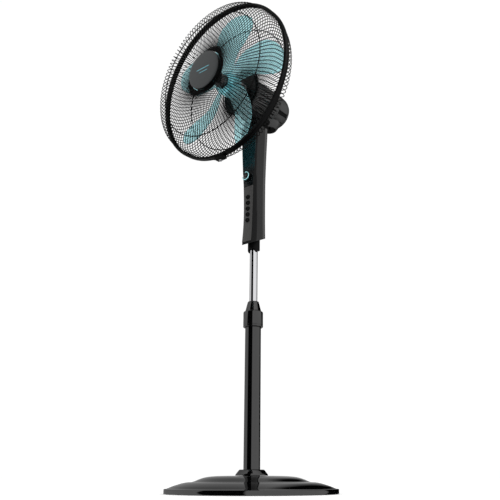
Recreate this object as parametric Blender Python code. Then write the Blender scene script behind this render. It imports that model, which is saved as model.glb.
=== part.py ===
"""Pedestal fan: round weighted base, telescopic pole, control neck and an oscillating head.

Units are metres, +Z is up.  The origin is on the floor, under the middle of the pole, and the
fan blows towards -Y.  Head parts are turned about the head axis, which runs along Y.
"""
import math

import bmesh
import bpy
import numpy as np
from mathutils import Matrix, Vector

# ---------------------------------------------------------------- driving dimensions
GAP = 0.0003                    # clearance between pieces that rest on each other

BASE_RADIUS = 0.200
BASE_RIM_HEIGHT = 0.0107
BASE_DOME_TOP = 0.0392
COVER_WALL = 0.0025
FOOT_HEIGHT = 0.0027
FOOT_RADIUS = 0.009
FOOT_CIRCLE = 0.160
WEIGHT_RADIUS = 0.184
WEIGHT_BOTTOM = FOOT_HEIGHT + GAP
WEIGHT_TOP = WEIGHT_BOTTOM + 0.005

LOWER_TUBE_RADIUS = 0.0195
LOWER_TUBE_BORE = 0.0180
LOWER_TUBE_BOTTOM = WEIGHT_TOP + GAP
LOWER_TUBE_TOP = 0.400
NUT_RADIUS = 0.0245
NUT_BOTTOM = 0.387
NUT_SHOULDER = 0.426
NUT_TOP = 0.452

POLE_RADIUS = 0.0100
POLE_BORE = 0.0088
POLE_BOTTOM = 0.200
POLE_TOP = 0.645
COLLAR_RADIUS = 0.0155
COLLAR_BOTTOM = 0.5895
COLLAR_TOP = 0.660
COLLAR_FOOT = 0.006             # how far the collar's side points hang below its arches

NECK_BOTTOM_FRONT = 0.598
NECK_BOTTOM_REAR = 0.623
NECK_TOP = 0.9375
NECK_SPLIT = 0.010              # Y of the seam between the front and the rear shell
NECK_REAR = 0.022
NECK_WALL = 0.0022
PANEL_THICK = 0.0015
PANEL_SEAM = 0.761
# height, half width, half width of the front face, Y of the front face, depth of the side bevel
NECK_STATIONS = (
    (0.598, 0.0215, 0.0140, -0.0306, 0.0125),
    (0.640, 0.0205, 0.0135, -0.0266, 0.0115),
    (0.690, 0.0200, 0.0135, -0.0248, 0.0110),
    (0.765, 0.0204, 0.0156, -0.0248, 0.0095),
    (0.805, 0.0214, 0.0186, -0.0250, 0.0080),
    (0.860, 0.0237, 0.0215, -0.0250, 0.0065),
    (0.905, 0.0262, 0.0232, -0.0250, 0.0060),
    (0.9375, 0.0278, 0.0250, -0.0245, 0.0055),
)

BUTTON_HEIGHTS = tuple(0.7294 - 0.0162 * step for step in range(5))
BUTTON_RADIUS = 0.0058
BUTTON_PROUD = 0.0030
BUTTON_LENGTH = 0.0090
BUTTON_TRAVEL = 0.0030
KNOB_HEIGHT = 0.787
KNOB_RADIUS = 0.0106
KNOB_PROUD = 0.0115

LOCK_HEIGHT = 0.645             # thumb screw behind the neck
CAP_TOP = 0.9405
TILT_HEIGHT = 0.925             # tilt axis, along X, in the top of the neck
YOKE_PLATE_BOTTOM = 0.950
YOKE_PLATE_TOP = 0.956
YOKE_PLATE_RADIUS = 0.0290
SWIVEL_PIN_RADIUS = 0.0060
LINK_ANCHOR = (0.0240, 0.0)     # where the oscillation link is held on the yoke plate
CRANK_CENTRE = (0.0, 0.060)
CRANK_THROW = 0.0150

HEAD_HEIGHT = 1.0265            # height of the head axis
MOTOR_RADIUS = 0.0510
MOTOR_WALL = 0.0025
MOTOR_SEAM = -0.045             # places along the head axis count forwards from the pole axis
MOTOR_REAR = -0.112
SHAFT_RADIUS = 0.0040
GEARBOX_BOTTOM = 0.9865
PULL_KNOB_Y = 0.056
BEARING_RADIUS = 0.0085

RING_PLANE = 0.130              # middle of the band that clamps the two guards
RING_OUTER = 0.2195
GUARD_RIM = 0.2168
GUARD_SPOKES = 28
WIRE = 0.0022
BADGE_RADIUS = 0.056
BADGE_FACE = 0.2045
# radius and place along the head axis of the guard surfaces; pairs marked True carry a ring
FRONT_GUARD = (
    (GUARD_RIM, 0.1332, True), (0.2126, 0.1332, False), (0.2120, 0.1430, False),
    (0.2080, 0.1640, True), (0.2050, 0.1675, False), (0.1735, 0.1793, True),
    (0.1705, 0.1800, False), (0.1100, 0.1900, False), (0.0612, 0.1935, True),
    (0.0573, 0.1935, False),
)
REAR_GUARD = (
    (GUARD_RIM, 0.1268, True), (0.2126, 0.1268, False), (0.2120, 0.1150, False),
    (0.2085, 0.1000, False), (0.1950, 0.0880, False), (0.1735, 0.0785, True),
    (0.1705, 0.0775, False), (0.1100, 0.0650, False), (0.0650, 0.0596, True),
    (0.0612, 0.0590, False),
)

BLADES = 5
BLADE_ROOT = 0.0270
BLADE_TIP = 0.1980
BLADE_PLANE = 0.118
BLADE_LEAN = -0.0043            # forward step of the blade's middle from root to tip
BLADE_THICK = 0.0024
BLADE_START = math.radians(2.5)  # first blade, clockwise from straight up seen from the front
PITCH_ROOT = math.radians(20.7)
PITCH_TIP = math.radians(15.1)
# place along the blade as the sine of a quarter turn's share, sweep in degrees, half chord
BLADE_STATIONS = (
    (0.0, 0.3, 0.0160), (0.2, -3.6, 0.0320), (0.4, 4.7, 0.0443), (0.6, 10.2, 0.0471),
    (0.8, 14.3, 0.0313), (0.9, 14.6, 0.0175), (1.0, 13.5, 0.0),
)
HUB_RADIUS = 0.030
HUB_REAR = 0.090
HUB_FRONT = 0.127

FACE_FORWARD = (math.radians(90), 0.0, 0.0)    # turns a part's +Z to the front, -Y
FACE_REAR = (math.radians(-90), 0.0, 0.0)      # turns a part's +Z to the rear, +Y
FACE_SIDE = (0.0, math.radians(90), 0.0)       # turns a part's +Z to the side, +X

HEAD = (0.0, 0.0, HEAD_HEIGHT)
JOINT_POINTS = {
    "stand": (0.0, 0.0, 0.0),
    "column": (0.0, 0.0, NUT_TOP),
    "tilt": (0.0, 0.0, TILT_HEIGHT),
    "swivel": (0.0, 0.0, YOKE_PLATE_TOP),
    "rotor": HEAD,
}


# ---------------------------------------------------------------- scene, materials, placing
def clear_scene():
    for old in list(bpy.data.objects):
        bpy.data.objects.remove(old, do_unlink=True)


def make_material(name, colour, roughness, metallic=0.0):
    """A plain Principled material."""
    mat = bpy.data.materials.new(name)
    mat.use_nodes = True
    shader = mat.node_tree.nodes["Principled BSDF"]
    shader.inputs["Base Color"].default_value = (*colour, 1.0)
    shader.inputs["Roughness"].default_value = roughness
    shader.inputs["Metallic"].default_value = metallic
    return mat


def add_axis(name, parent=None):
    """An empty on a joint's axis that the moving pieces hang on."""
    empty = bpy.data.objects.new(f"axis_{name}", None)
    empty.empty_display_size = 0.03
    bpy.context.scene.collection.objects.link(empty)
    point = Vector(JOINT_POINTS[name])
    if parent is not None:
        empty.parent = parent
        point = point - Vector(JOINT_POINTS[parent.name[len("axis_"):]])
    empty.location = point
    return empty


def add_piece(name, bm, mat, body, at=(0, 0, 0), turn=(0, 0, 0), sharp_deg=35):
    """Turn a bmesh into a named object on a body's empty; at is its place in the world."""
    bmesh.ops.remove_doubles(bm, verts=bm.verts, dist=1e-6)
    bmesh.ops.recalc_face_normals(bm, faces=bm.faces)
    mesh = bpy.data.meshes.new(name)
    bm.to_mesh(mesh)
    bm.free()
    mesh.materials.append(mat)
    mesh.shade_smooth()
    mesh.set_sharp_from_angle(angle=math.radians(sharp_deg))
    return add_copy(name, mesh, body, at, turn)


def add_copy(name, mesh, body, at, turn=(0, 0, 0)):
    """An object that uses a mesh, which it may share with its copies."""
    piece = bpy.data.objects.new(name, mesh)
    bpy.context.scene.collection.objects.link(piece)
    piece.parent = body
    piece.location = Vector(at) - Vector(JOINT_POINTS[body.name[len("axis_"):]])
    piece.rotation_euler = turn
    return piece


def use_as_tool(piece, tool, operation):
    """Cut or join a piece with a helper solid."""
    tool.hide_render = True
    tool.display_type = "WIRE"
    step = piece.modifiers.new(tool.name, "BOOLEAN")
    step.operation = operation
    step.solver = "EXACT"
    step.object = tool


def cut(piece, *tools):
    for tool in tools:
        use_as_tool(piece, tool, "DIFFERENCE")


def join(piece, *tools):
    for tool in tools:
        use_as_tool(piece, tool, "UNION")


# ---------------------------------------------------------------- shapes
def turned(outline, segments=24):
    """Spin a closed (radius, height) outline about Z."""
    bm = bmesh.new()
    corners = [bm.verts.new((radius, 0.0, height)) for radius, height in outline]
    edges = []
    for here, there in zip(corners, corners[1:] + corners[:1]):
        if here.co.x > 0 or there.co.x > 0:
            edges.append(bm.edges.new((here, there)))
    bmesh.ops.spin(bm, geom=corners + edges, cent=(0, 0, 0), axis=(0, 0, 1),
                   angle=math.tau, steps=segments, use_merge=True)
    return bm


def rod(radius, low, high, segments=16):
    return turned([(0, low), (radius, low), (radius, high), (0, high)], segments)


def washer(inner, outer, low, high, segments=24):
    return turned([(inner, low), (outer, low), (outer, high), (inner, high)], segments)


def block(low, high, bevel=0.0):
    """A box between two corners, with its edges bevelled."""
    bm = bmesh.new()
    low, high = Vector(low), Vector(high)
    size = Matrix.Diagonal((*(high - low), 1.0))
    bmesh.ops.create_cube(bm, size=1.0, matrix=Matrix.Translation((low + high) / 2) @ size)
    if bevel:
        bmesh.ops.bevel(bm, geom=bm.edges, offset=bevel, segments=2, profile=0.5,
                        affect="EDGES")
    return bm


def loft(sections):
    """Skin closed outlines of equal length, and cap both ends."""
    bm = bmesh.new()
    rings = [[bm.verts.new(point) for point in section] for section in sections]
    count = len(rings[0])
    for lower, upper in zip(rings, rings[1:]):
        for i in range(count):
            j = (i + 1) % count
            bm.faces.new((lower[i], lower[j], upper[j], upper[i]))
    bm.faces.new(rings[0])
    bm.faces.new(rings[-1])
    return bm


def extruded(outline, low, high):
    """A flat (x, y) outline given a thickness."""
    return loft([[(x, y, low) for x, y in outline], [(x, y, high) for x, y in outline]])


# ---------------------------------------------------------------- base and pole
def base_cover(mat, body):
    """Stepped dome on a straight rim, open underneath, with a hole for the tube."""
    outer = [
        (BASE_RADIUS, 0.0006), (BASE_RADIUS, BASE_RIM_HEIGHT), (0.1940, 0.0118),
        (0.1850, 0.0152), (0.1720, 0.0196), (0.1520, 0.0248), (0.1350, 0.0256),
        (0.1235, 0.0292), (0.1090, 0.0353), (0.0830, 0.0383), (0.0530, 0.0390),
        (0.0210, BASE_DOME_TOP),
    ]
    inner = [(radius - (COVER_WALL if i < 3 else 0.0), height - COVER_WALL)
             for i, (radius, height) in enumerate(outer) if i > 0]
    inner.insert(0, (BASE_RADIUS - COVER_WALL, 0.0006))
    return add_piece("base_cover", turned(outer + inner[::-1], 36), mat, body)


def base_weight(mat, body):
    return add_piece("base_weight",
                     washer(0.0044, WEIGHT_RADIUS, WEIGHT_BOTTOM, WEIGHT_TOP, 32), mat, body)


def rubber_feet(mat, body):
    mesh = None
    for number in range(4):
        angle = math.radians(45 + 90 * number)
        at = (FOOT_CIRCLE * math.cos(angle), FOOT_CIRCLE * math.sin(angle), 0.0)
        name = f"rubber_foot_{number + 1}"
        if mesh is None:
            mesh = add_piece(name, rod(FOOT_RADIUS, 0.0, FOOT_HEIGHT, 16), mat, body, at).data
        else:
            add_copy(name, mesh, body, at)


def base_bolt(mat, body):
    """Flat-headed bolt that pulls the tube down on the weight."""
    outline = [(0, 0.0008), (0.0100, 0.0008), (0.0100, FOOT_HEIGHT), (SHAFT_RADIUS, FOOT_HEIGHT),
               (SHAFT_RADIUS, 0.030), (0, 0.030)]
    return add_piece("base_bolt", turned(outline, 16), mat, body)


def tube_plug(mat, body):
    low = LOWER_TUBE_BOTTOM
    return add_piece("tube_plug", washer(0.0043, LOWER_TUBE_BORE - GAP, low, 0.034, 24),
                     mat, body)


def foot_flange(mat, body):
    low = BASE_DOME_TOP + GAP
    outline = [
        (LOWER_TUBE_RADIUS + GAP, low), (0.0380, low), (0.0376, low + 0.0025),
        (0.0296, low + 0.0122), (0.0288, low + 0.0130),
        (LOWER_TUBE_RADIUS + GAP, low + 0.0130),
    ]
    return add_piece("foot_flange", turned(outline, 24), mat, body)


def lower_tube(mat, body):
    return add_piece("lower_tube", washer(LOWER_TUBE_BORE, LOWER_TUBE_RADIUS,
                                          LOWER_TUBE_BOTTOM, LOWER_TUBE_TOP), mat, body)


def tube_bush(mat, body):
    """Collet: a skirt inside the tube, a flange on its end and a sleeve on the pole."""
    bore = POLE_RADIUS + GAP
    top = LOWER_TUBE_TOP + GAP
    outline = [
        (bore, 0.360), (LOWER_TUBE_BORE - GAP, 0.360), (LOWER_TUBE_BORE - GAP, top),
        (0.0190, top), (0.0190, top + 0.002), (0.0130, top + 0.002), (0.0125, 0.440),
        (bore, 0.440),
    ]
    return add_piece("tube_bush", turned(outline, 24), mat, body)


def height_nut(mat, body):
    outline = [
        (0.0200, NUT_BOTTOM), (NUT_RADIUS - 0.0008, NUT_BOTTOM), (NUT_RADIUS, NUT_BOTTOM + 0.0010),
        (NUT_RADIUS, NUT_SHOULDER - 0.0015), (NUT_RADIUS - 0.0012, NUT_SHOULDER),
        (0.0212, NUT_SHOULDER + 0.0012), (0.0145, NUT_TOP - 0.0015), (0.0130, NUT_TOP),
        (POLE_RADIUS + 0.0006, NUT_TOP), (POLE_RADIUS + 0.0006, 0.4410), (0.0142, 0.4405),
        (0.0142, 0.4035), (0.0200, 0.4032),
    ]
    return add_piece("height_nut", turned(outline, 24), mat, body)


def inner_pole(mat, body):
    return add_piece("inner_pole", washer(POLE_BORE, POLE_RADIUS, POLE_BOTTOM, POLE_TOP, 24),
                     mat, body)


# ---------------------------------------------------------------- control neck
def neck_at(height):
    """Half width, front half width, front Y and bevel depth of the neck at a height."""
    table = np.array(NECK_STATIONS)
    return [float(np.interp(height, table[:, 0], table[:, i])) for i in range(1, 5)]


def neck_floor(y):
    """Height of the neck's sloping underside, which rises to the rear."""
    front = NECK_STATIONS[0][3]
    share = (y - front) / (NECK_REAR - front)
    return NECK_BOTTOM_FRONT + share * (NECK_BOTTOM_REAR - NECK_BOTTOM_FRONT)


def neck_sections(outline, bottom, top, sloped):
    """Outlines at the stations between two heights; the lowest may follow the sloped floor."""
    inside = [row[0] for row in NECK_STATIONS if bottom + 0.026 < row[0] < top - 0.004]
    sections = []
    for height in [bottom] + inside + [top]:
        points = outline(height)
        if sloped and height == bottom:
            sections.append([(x, y, neck_floor(y)) for x, y in points])
        else:
            sections.append([(x, y, height) for x, y in points])
    return sections


def channel(outer, inner):
    """Outline of a U-shaped wall from its right half: outside to the middle, inside back."""
    left_outer = [(-x, y) for x, y in outer]
    left_inner = [(-x, y) for x, y in inner]
    return left_outer + outer[::-1] + inner[::-1] + left_inner


def front_shell_outline(height):
    half, face, front, bevel = neck_at(height)
    front = front + PANEL_THICK + GAP
    side = front + bevel
    outer = [(half, NECK_SPLIT), (half, side), (face, front)]
    inner = [(face - 0.4 * NECK_WALL, front + NECK_WALL),
             (half - NECK_WALL, side + 0.5 * NECK_WALL), (half - NECK_WALL, NECK_SPLIT)]
    return channel(outer, inner)


def rear_shell_outline(height):
    half = neck_at(height)[0]
    start = NECK_SPLIT + GAP
    outer = [(half, start), (half - 0.0006, NECK_REAR - 0.0060), (half - 0.0055, NECK_REAR)]
    inner = [(half - 0.0060, NECK_REAR - NECK_WALL),
             (half - 0.0006 - NECK_WALL, NECK_REAR - 0.0068), (half - NECK_WALL, start)]
    return channel(outer, inner)


def panel_outline(height):
    face, front = neck_at(height)[1:3]
    return [(-face, front + 0.0004), (-face + 0.0004, front), (face - 0.0004, front),
            (face, front + 0.0004), (face, front + PANEL_THICK), (-face, front + PANEL_THICK)]


def front_face_y(height):
    """Y of the neck's front face at a height."""
    return neck_at(height)[2]


def front_tool(name, radius, height, mat, body, depth=0.02):
    """A cutter along Y through the front of the neck."""
    front = front_face_y(height)
    return add_piece(name, rod(radius, -depth, depth, 20), mat, body, (0, front, height),
                     FACE_FORWARD)


def neck_front_shell(mat, body):
    sections = neck_sections(front_shell_outline, NECK_BOTTOM_FRONT, NECK_TOP, True)
    shell = add_piece("neck_front_shell", loft(sections), mat, body)
    low, high = min(BUTTON_HEIGHTS) - 0.009, max(BUTTON_HEIGHTS) + 0.009
    window = add_piece("cutter_button_window", block((-0.0085, -0.04, low), (0.0085, 0.0, high)),
                       mat, body)
    cut(shell, window, front_tool("cutter_timer_shell", 0.0050, KNOB_HEIGHT, mat, body))
    return shell


def neck_rear_shell(mat, body):
    sections = neck_sections(rear_shell_outline, NECK_BOTTOM_FRONT, NECK_TOP, True)
    shell = add_piece("neck_rear_shell", loft(sections), mat, body)
    hole = add_piece("cutter_lock_hole", rod(0.0040, -0.008, 0.008, 16), mat, body,
                     (0, NECK_REAR, LOCK_HEIGHT), FACE_FORWARD)
    cut(shell, hole)
    return shell


def neck_cap(mat, body):
    """Top cover of the neck with a slot that the yoke tilts in."""
    half, face, front, bevel = neck_at(NECK_TOP)
    outline = [(-face, front), (face, front), (half, front + bevel), (half, NECK_REAR - 0.006),
               (half - 0.006, NECK_REAR), (-half + 0.006, NECK_REAR), (-half, NECK_REAR - 0.006),
               (-half, front + bevel)]
    low = NECK_TOP + GAP
    cap = add_piece("neck_cap", extruded(outline, low, CAP_TOP), mat, body)
    slot = add_piece("cutter_cap_slot", block((-0.0102, -0.0155, low - 0.01),
                                              (0.0102, 0.0155, low + 0.01)), mat, body)
    cut(cap, slot)
    return cap


def neck_collar(mat, body):
    """Spigot that grips the pole; its lower edge hangs to a point on both sides."""
    bm = washer(POLE_RADIUS + GAP, COLLAR_RADIUS, COLLAR_BOTTOM, COLLAR_TOP, 32)
    for vert in bm.verts:
        if abs(vert.co.z - COLLAR_BOTTOM) < 1e-6:
            vert.co.z -= COLLAR_FOOT * abs(vert.co.x / COLLAR_RADIUS) ** 4
    collar = add_piece("neck_collar", bm, mat, body)
    hole = add_piece("cutter_collar_hole", rod(0.0033, -0.012, 0.012, 16), mat, body,
                     (0, COLLAR_RADIUS, LOCK_HEIGHT), FACE_FORWARD)
    cut(collar, hole)
    return collar


def neck_lock_screw(mat, body):
    """Thumb screw behind the neck that locks the collar on the pole."""
    outline = [(0, 0.0), (0.0030, 0.0), (0.0030, 0.0120), (0.0070, 0.0120), (0.0070, 0.0165),
               (0.0060, 0.0175), (0, 0.0175)]
    return add_piece("neck_lock_screw", turned(outline, 20), mat, body,
                     (0, POLE_RADIUS + GAP, LOCK_HEIGHT), FACE_REAR)


def display_panel(mat, body):
    panel = add_piece("display_panel", loft(neck_sections(
        panel_outline, PANEL_SEAM + 0.0010, NECK_TOP, False)), mat, body)
    cut(panel, front_tool("cutter_timer_panel", 0.0036, KNOB_HEIGHT, mat, body))
    return panel


def button_panel(mat, body):
    panel = add_piece("button_panel", loft(neck_sections(
        panel_outline, NECK_BOTTOM_FRONT + 0.0015, PANEL_SEAM - 0.0010, False)), mat, body)
    for number, height in enumerate(BUTTON_HEIGHTS):
        name = f"cutter_button_{number + 1}"
        cut(panel, front_tool(name, BUTTON_RADIUS + 0.0004, height, mat, body))
    return panel


def push_buttons(mat, column):
    """Five round push buttons, each a copy of one mesh."""
    outline = [(0, BUTTON_PROUD - BUTTON_LENGTH), (BUTTON_RADIUS, BUTTON_PROUD - BUTTON_LENGTH),
               (BUTTON_RADIUS, BUTTON_PROUD - 0.0012), (BUTTON_RADIUS - 0.0010, BUTTON_PROUD - 0.0002),
               (0, BUTTON_PROUD)]
    mesh = None
    for number, height in enumerate(BUTTON_HEIGHTS):
        name = f"push_button_{number + 1}"
        at = (0, front_face_y(height), height)
        if mesh is None:
            mesh = add_piece(name, turned(outline, 20), mat, column, at, FACE_FORWARD).data
        else:
            add_copy(name, mesh, column, at, FACE_FORWARD)


def timer_knob(mat, ring_mat, column):
    """Knob with a spindle through the panel, and the ring on its front edge."""
    at = (0, front_face_y(KNOB_HEIGHT), KNOB_HEIGHT)
    proud = KNOB_PROUD
    knob = [(0, -0.0100), (0.0030, -0.0100), (0.0030, 0.0006), (KNOB_RADIUS, 0.0006),
            (KNOB_RADIUS, proud - 0.0030), (KNOB_RADIUS - 0.0022, proud - 0.0030),
            (KNOB_RADIUS - 0.0022, proud - 0.0006), (0, proud - 0.0006)]
    add_piece("timer_knob", turned(knob, 24), mat, column, at, FACE_FORWARD)
    add_piece("knob_ring", washer(KNOB_RADIUS - 0.0019, KNOB_RADIUS + 0.0002, proud - 0.0027,
                                  proud, 24), ring_mat, column, at, FACE_FORWARD)


def neck_inside(plastic, metal, body):
    """Switch block behind the buttons and the clockwork timer behind the knob."""
    back = front_face_y(0.70) + BUTTON_LENGTH - BUTTON_PROUD + BUTTON_TRAVEL + 0.0008
    low, high = COLLAR_TOP + 0.001, max(BUTTON_HEIGHTS) + 0.010
    add_piece("switch_block", block((-0.0110, back, low), (0.0110, back + 0.015, high), 0.001),
              plastic, body)
    front = front_face_y(KNOB_HEIGHT) + 0.0108
    timer = block((-0.0130, front, KNOB_HEIGHT - 0.014), (0.0130, front + 0.016,
                                                           KNOB_HEIGHT + 0.014), 0.001)
    add_piece("timer_body", timer, metal, body)


# ---------------------------------------------------------------- tilt yoke and oscillation
def pivot_block(mat, body):
    """U-shaped block in the neck that carries the tilt bolt in its two cheeks."""
    bm = block((-0.0175, -0.0120, 0.9050), (0.0175, 0.0120, 0.9365))
    holder = add_piece("pivot_block", bm, mat, body)
    room = add_piece("cutter_pivot_room", block((-0.0126, -0.0130, 0.9125),
                                                (0.0126, 0.0130, 0.9465)), mat, body)
    hole = add_piece("cutter_pivot_hole", rod(0.0033, -0.03, 0.03, 16), mat, body,
                     (0, 0, TILT_HEIGHT), FACE_SIDE)
    cut(holder, room, hole)
    return holder


def tilt_bolt(mat, body):
    outline = [(0, -0.0230), (0.0055, -0.0230), (0.0055, -0.0180), (0.0030, -0.0180),
               (0.0030, 0.0205), (0, 0.0205)]
    return add_piece("tilt_bolt", turned(outline, 16), mat, body, (0, 0, TILT_HEIGHT), FACE_SIDE)


def tilt_yoke(mat, body):
    """Barrel on the tilt bolt, a post through the neck's slot and the plate the head turns on."""
    at = (0, 0, TILT_HEIGHT)
    yoke = add_piece("tilt_yoke", rod(0.0105, -0.0121, 0.0121, 24), mat, body, at, FACE_SIDE)
    post = add_piece("helper_yoke_post", block((-0.0090, -0.0080, TILT_HEIGHT),
                                               (0.0090, 0.0080, YOKE_PLATE_BOTTOM + 0.001)),
                     mat, body)
    plate = add_piece("helper_yoke_plate", rod(YOKE_PLATE_RADIUS, YOKE_PLATE_BOTTOM,
                                               YOKE_PLATE_TOP, 24), mat, body)
    join(yoke, post, plate)
    socket = add_piece("cutter_swivel_socket", rod(SWIVEL_PIN_RADIUS + 0.0005, 0.9430, 0.9700, 20),
                       mat, body)
    bolt = add_piece("cutter_tilt_bore", rod(0.0033, -0.03, 0.03, 16), mat, body, at, FACE_SIDE)
    anchor = add_piece("cutter_link_anchor", rod(0.0018, 0.9520, 0.9700, 12), mat, body,
                       (*LINK_ANCHOR, 0))
    cut(yoke, socket, bolt, anchor)
    return yoke


def oscillation_link(mat, axis):
    """Flat bar from the yoke's anchor to the crank pin, which it passes under."""
    start, end = Vector((*LINK_ANCHOR, 0)), Vector((*CRANK_CENTRE, 0))
    low, high = YOKE_PLATE_TOP + 0.0012, YOKE_PLATE_TOP + 0.0040
    along = (end - start).normalized()
    heading = math.atan2(along.y, along.x)
    outline = []
    for centre, first in ((end, heading - math.pi / 2), (start, heading + math.pi / 2)):
        for step in range(7):
            angle = first + math.pi * step / 6
            outline.append((centre.x + 0.0042 * math.cos(angle),
                            centre.y + 0.0042 * math.sin(angle)))
    link = add_piece("oscillation_link", extruded(outline, low, high), mat, axis)
    hole = add_piece("cutter_link_hole", rod(0.0022, low - 0.002, high + 0.002, 12), mat, axis,
                     (*LINK_ANCHOR, 0))
    cut(link, hole)
    return link


def link_screw(mat, body):
    low = YOKE_PLATE_TOP
    outline = [(0, low - 0.0030), (0.0015, low - 0.0030), (0.0015, low + 0.0044),
               (0.0036, low + 0.0044), (0.0030, low + 0.0060), (0, low + 0.0060)]
    return add_piece("link_screw", turned(outline, 12), mat, body, (*LINK_ANCHOR, 0))


def oscillation_crank(mat, axis):
    """Slow crank disc under the gearbox, with its spindle up and its pin down."""
    low = YOKE_PLATE_TOP + 0.0062
    disc = [(0, low), (0.0185, low), (0.0185, low + 0.0033), (0.0040, low + 0.0033),
            (0.0040, GEARBOX_BOTTOM - GAP), (0, GEARBOX_BOTTOM - GAP)]
    crank = add_piece("oscillation_crank", turned(disc, 24), mat, axis, (*CRANK_CENTRE, 0))
    pin = add_piece("helper_crank_pin", rod(0.0025, low - 0.0016, low + 0.001, 12), mat, axis,
                    (CRANK_CENTRE[0], CRANK_CENTRE[1] - CRANK_THROW, 0))
    join(crank, pin)
    return crank


def head_bracket(mat, body):
    """Casting under the motor with the swivel boss and pin that stand in the yoke."""
    low = YOKE_PLATE_TOP + GAP
    under = HEAD_HEIGHT - MOTOR_RADIUS - 0.0003
    plate_low = YOKE_PLATE_TOP + 0.0085
    bracket = add_piece("head_bracket", block((-0.0200, -0.0340, plate_low),
                                              (0.0200, 0.0395, under), 0.0015), mat, body)
    stem = add_piece("helper_swivel_stem", turned(
        [(0, YOKE_PLATE_BOTTOM - 0.005), (SWIVEL_PIN_RADIUS, YOKE_PLATE_BOTTOM - 0.005),
         (SWIVEL_PIN_RADIUS, low), (0.0078, low), (0.0078, plate_low + 0.002),
         (0, plate_low + 0.002)], 20), mat, body)
    join(bracket, stem)
    return bracket


# ---------------------------------------------------------------- motor
def motor_front_housing(mat, body):
    """Cup with a threaded boss in front that the rear guard is held on."""
    wall = MOTOR_WALL
    outline = [
        (MOTOR_RADIUS, MOTOR_SEAM), (MOTOR_RADIUS, 0.0450), (0.0480, 0.0520), (0.0300, 0.0550),
        (0.0180, 0.0550), (0.0180, 0.0720), (BEARING_RADIUS + GAP, 0.0720),
        (BEARING_RADIUS + GAP, 0.0590), (0.0060, 0.0590), (0.0060, 0.0525), (0.0290, 0.0525),
        (0.0460, 0.0495), (MOTOR_RADIUS - wall, 0.0440), (MOTOR_RADIUS - wall, MOTOR_SEAM),
    ]
    return add_piece("motor_front_housing", turned(outline, 32), mat, body, HEAD, FACE_FORWARD)


def motor_rear_cover(mat, body):
    """Dome behind the seam, with holes for the pull knob above and the crank below."""
    seam = MOTOR_SEAM - GAP
    outer = [(0, MOTOR_REAR), (0.0180, -0.1112), (0.0330, -0.1070), (0.0430, -0.0985),
             (0.0480, -0.0860), (0.0503, -0.0700), (MOTOR_RADIUS, seam)]
    inner = [(radius - MOTOR_WALL if radius else 0.0, place + MOTOR_WALL * (place < -0.08))
             for radius, place in outer]
    cover = add_piece("motor_rear_cover", turned(outer + inner[::-1], 32), mat, body, HEAD,
                      FACE_FORWARD)
    knob_hole = add_piece("cutter_pull_hole", rod(0.0055, 0.03, 0.07, 16), mat, body,
                          (0, PULL_KNOB_Y, HEAD_HEIGHT))
    crank_hole = add_piece("cutter_crank_hole", rod(0.0060, -0.07, -0.03, 16), mat, body,
                           (*CRANK_CENTRE, HEAD_HEIGHT))
    cut(cover, knob_hole, crank_hole)
    return cover


def motor_inside(steel, copper, plastic, body):
    """End bell, bearings, stator stack, its two coil rings, gearbox and run capacitor."""
    bearing = washer(SHAFT_RADIUS + GAP, BEARING_RADIUS, 0.0600, 0.0690, 20)
    add_piece("front_bearing", bearing, steel, body, HEAD, FACE_FORWARD)
    bearing = washer(SHAFT_RADIUS + GAP, BEARING_RADIUS, -0.0430, -0.0360, 20)
    add_piece("rear_bearing", bearing, steel, body, HEAD, FACE_FORWARD)
    bell = washer(BEARING_RADIUS + GAP, MOTOR_RADIUS - MOTOR_WALL - 0.0006, -0.0420, -0.0390)
    add_piece("motor_end_bell", bell, steel, body, HEAD, FACE_FORWARD)
    stator = washer(0.0240, 0.0440, -0.0180, 0.0240)
    add_piece("stator_stack", stator, steel, body, HEAD, FACE_FORWARD)
    for name, low in (("front_coil", 0.0243), ("rear_coil", -0.0303)):
        add_piece(name, washer(0.0270, 0.0400, low, low + 0.0120), copper, body, HEAD,
                  FACE_FORWARD)
    gearbox = block((-0.0150, 0.0510, GEARBOX_BOTTOM), (0.0150, 0.0800, 1.0480), 0.002)
    add_piece("gearbox", gearbox, plastic, body)
    capacitor = block((0.0200, 0.0500, 1.0080), (0.0330, 0.0840, 1.0300), 0.001)
    add_piece("run_capacitor", capacitor, plastic, body)


def rotor_and_shaft(steel, shaft_steel, axis):
    add_piece("rotor_core", washer(SHAFT_RADIUS + GAP, 0.0232, -0.0180, 0.0240), steel, axis,
              HEAD, FACE_FORWARD)
    add_piece("motor_shaft", rod(SHAFT_RADIUS, -0.0500, HUB_FRONT + 0.017, 20), shaft_steel, axis, HEAD,
              FACE_FORWARD)


def pull_knob(mat, axis):
    """Knob on the rear cover that lifts the oscillation clutch."""
    base = HEAD_HEIGHT + MOTOR_RADIUS
    outline = [(0, base - 0.0240), (0.0040, base - 0.0240), (0.0040, base + 0.0012),
               (0.0078, base + 0.0012), (0.0085, base + 0.0110), (0.0070, base + 0.0132),
               (0, base + 0.0136)]
    return add_piece("oscillation_pull_knob", turned(outline, 20), mat, axis, (0, PULL_KNOB_Y, 0))


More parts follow.
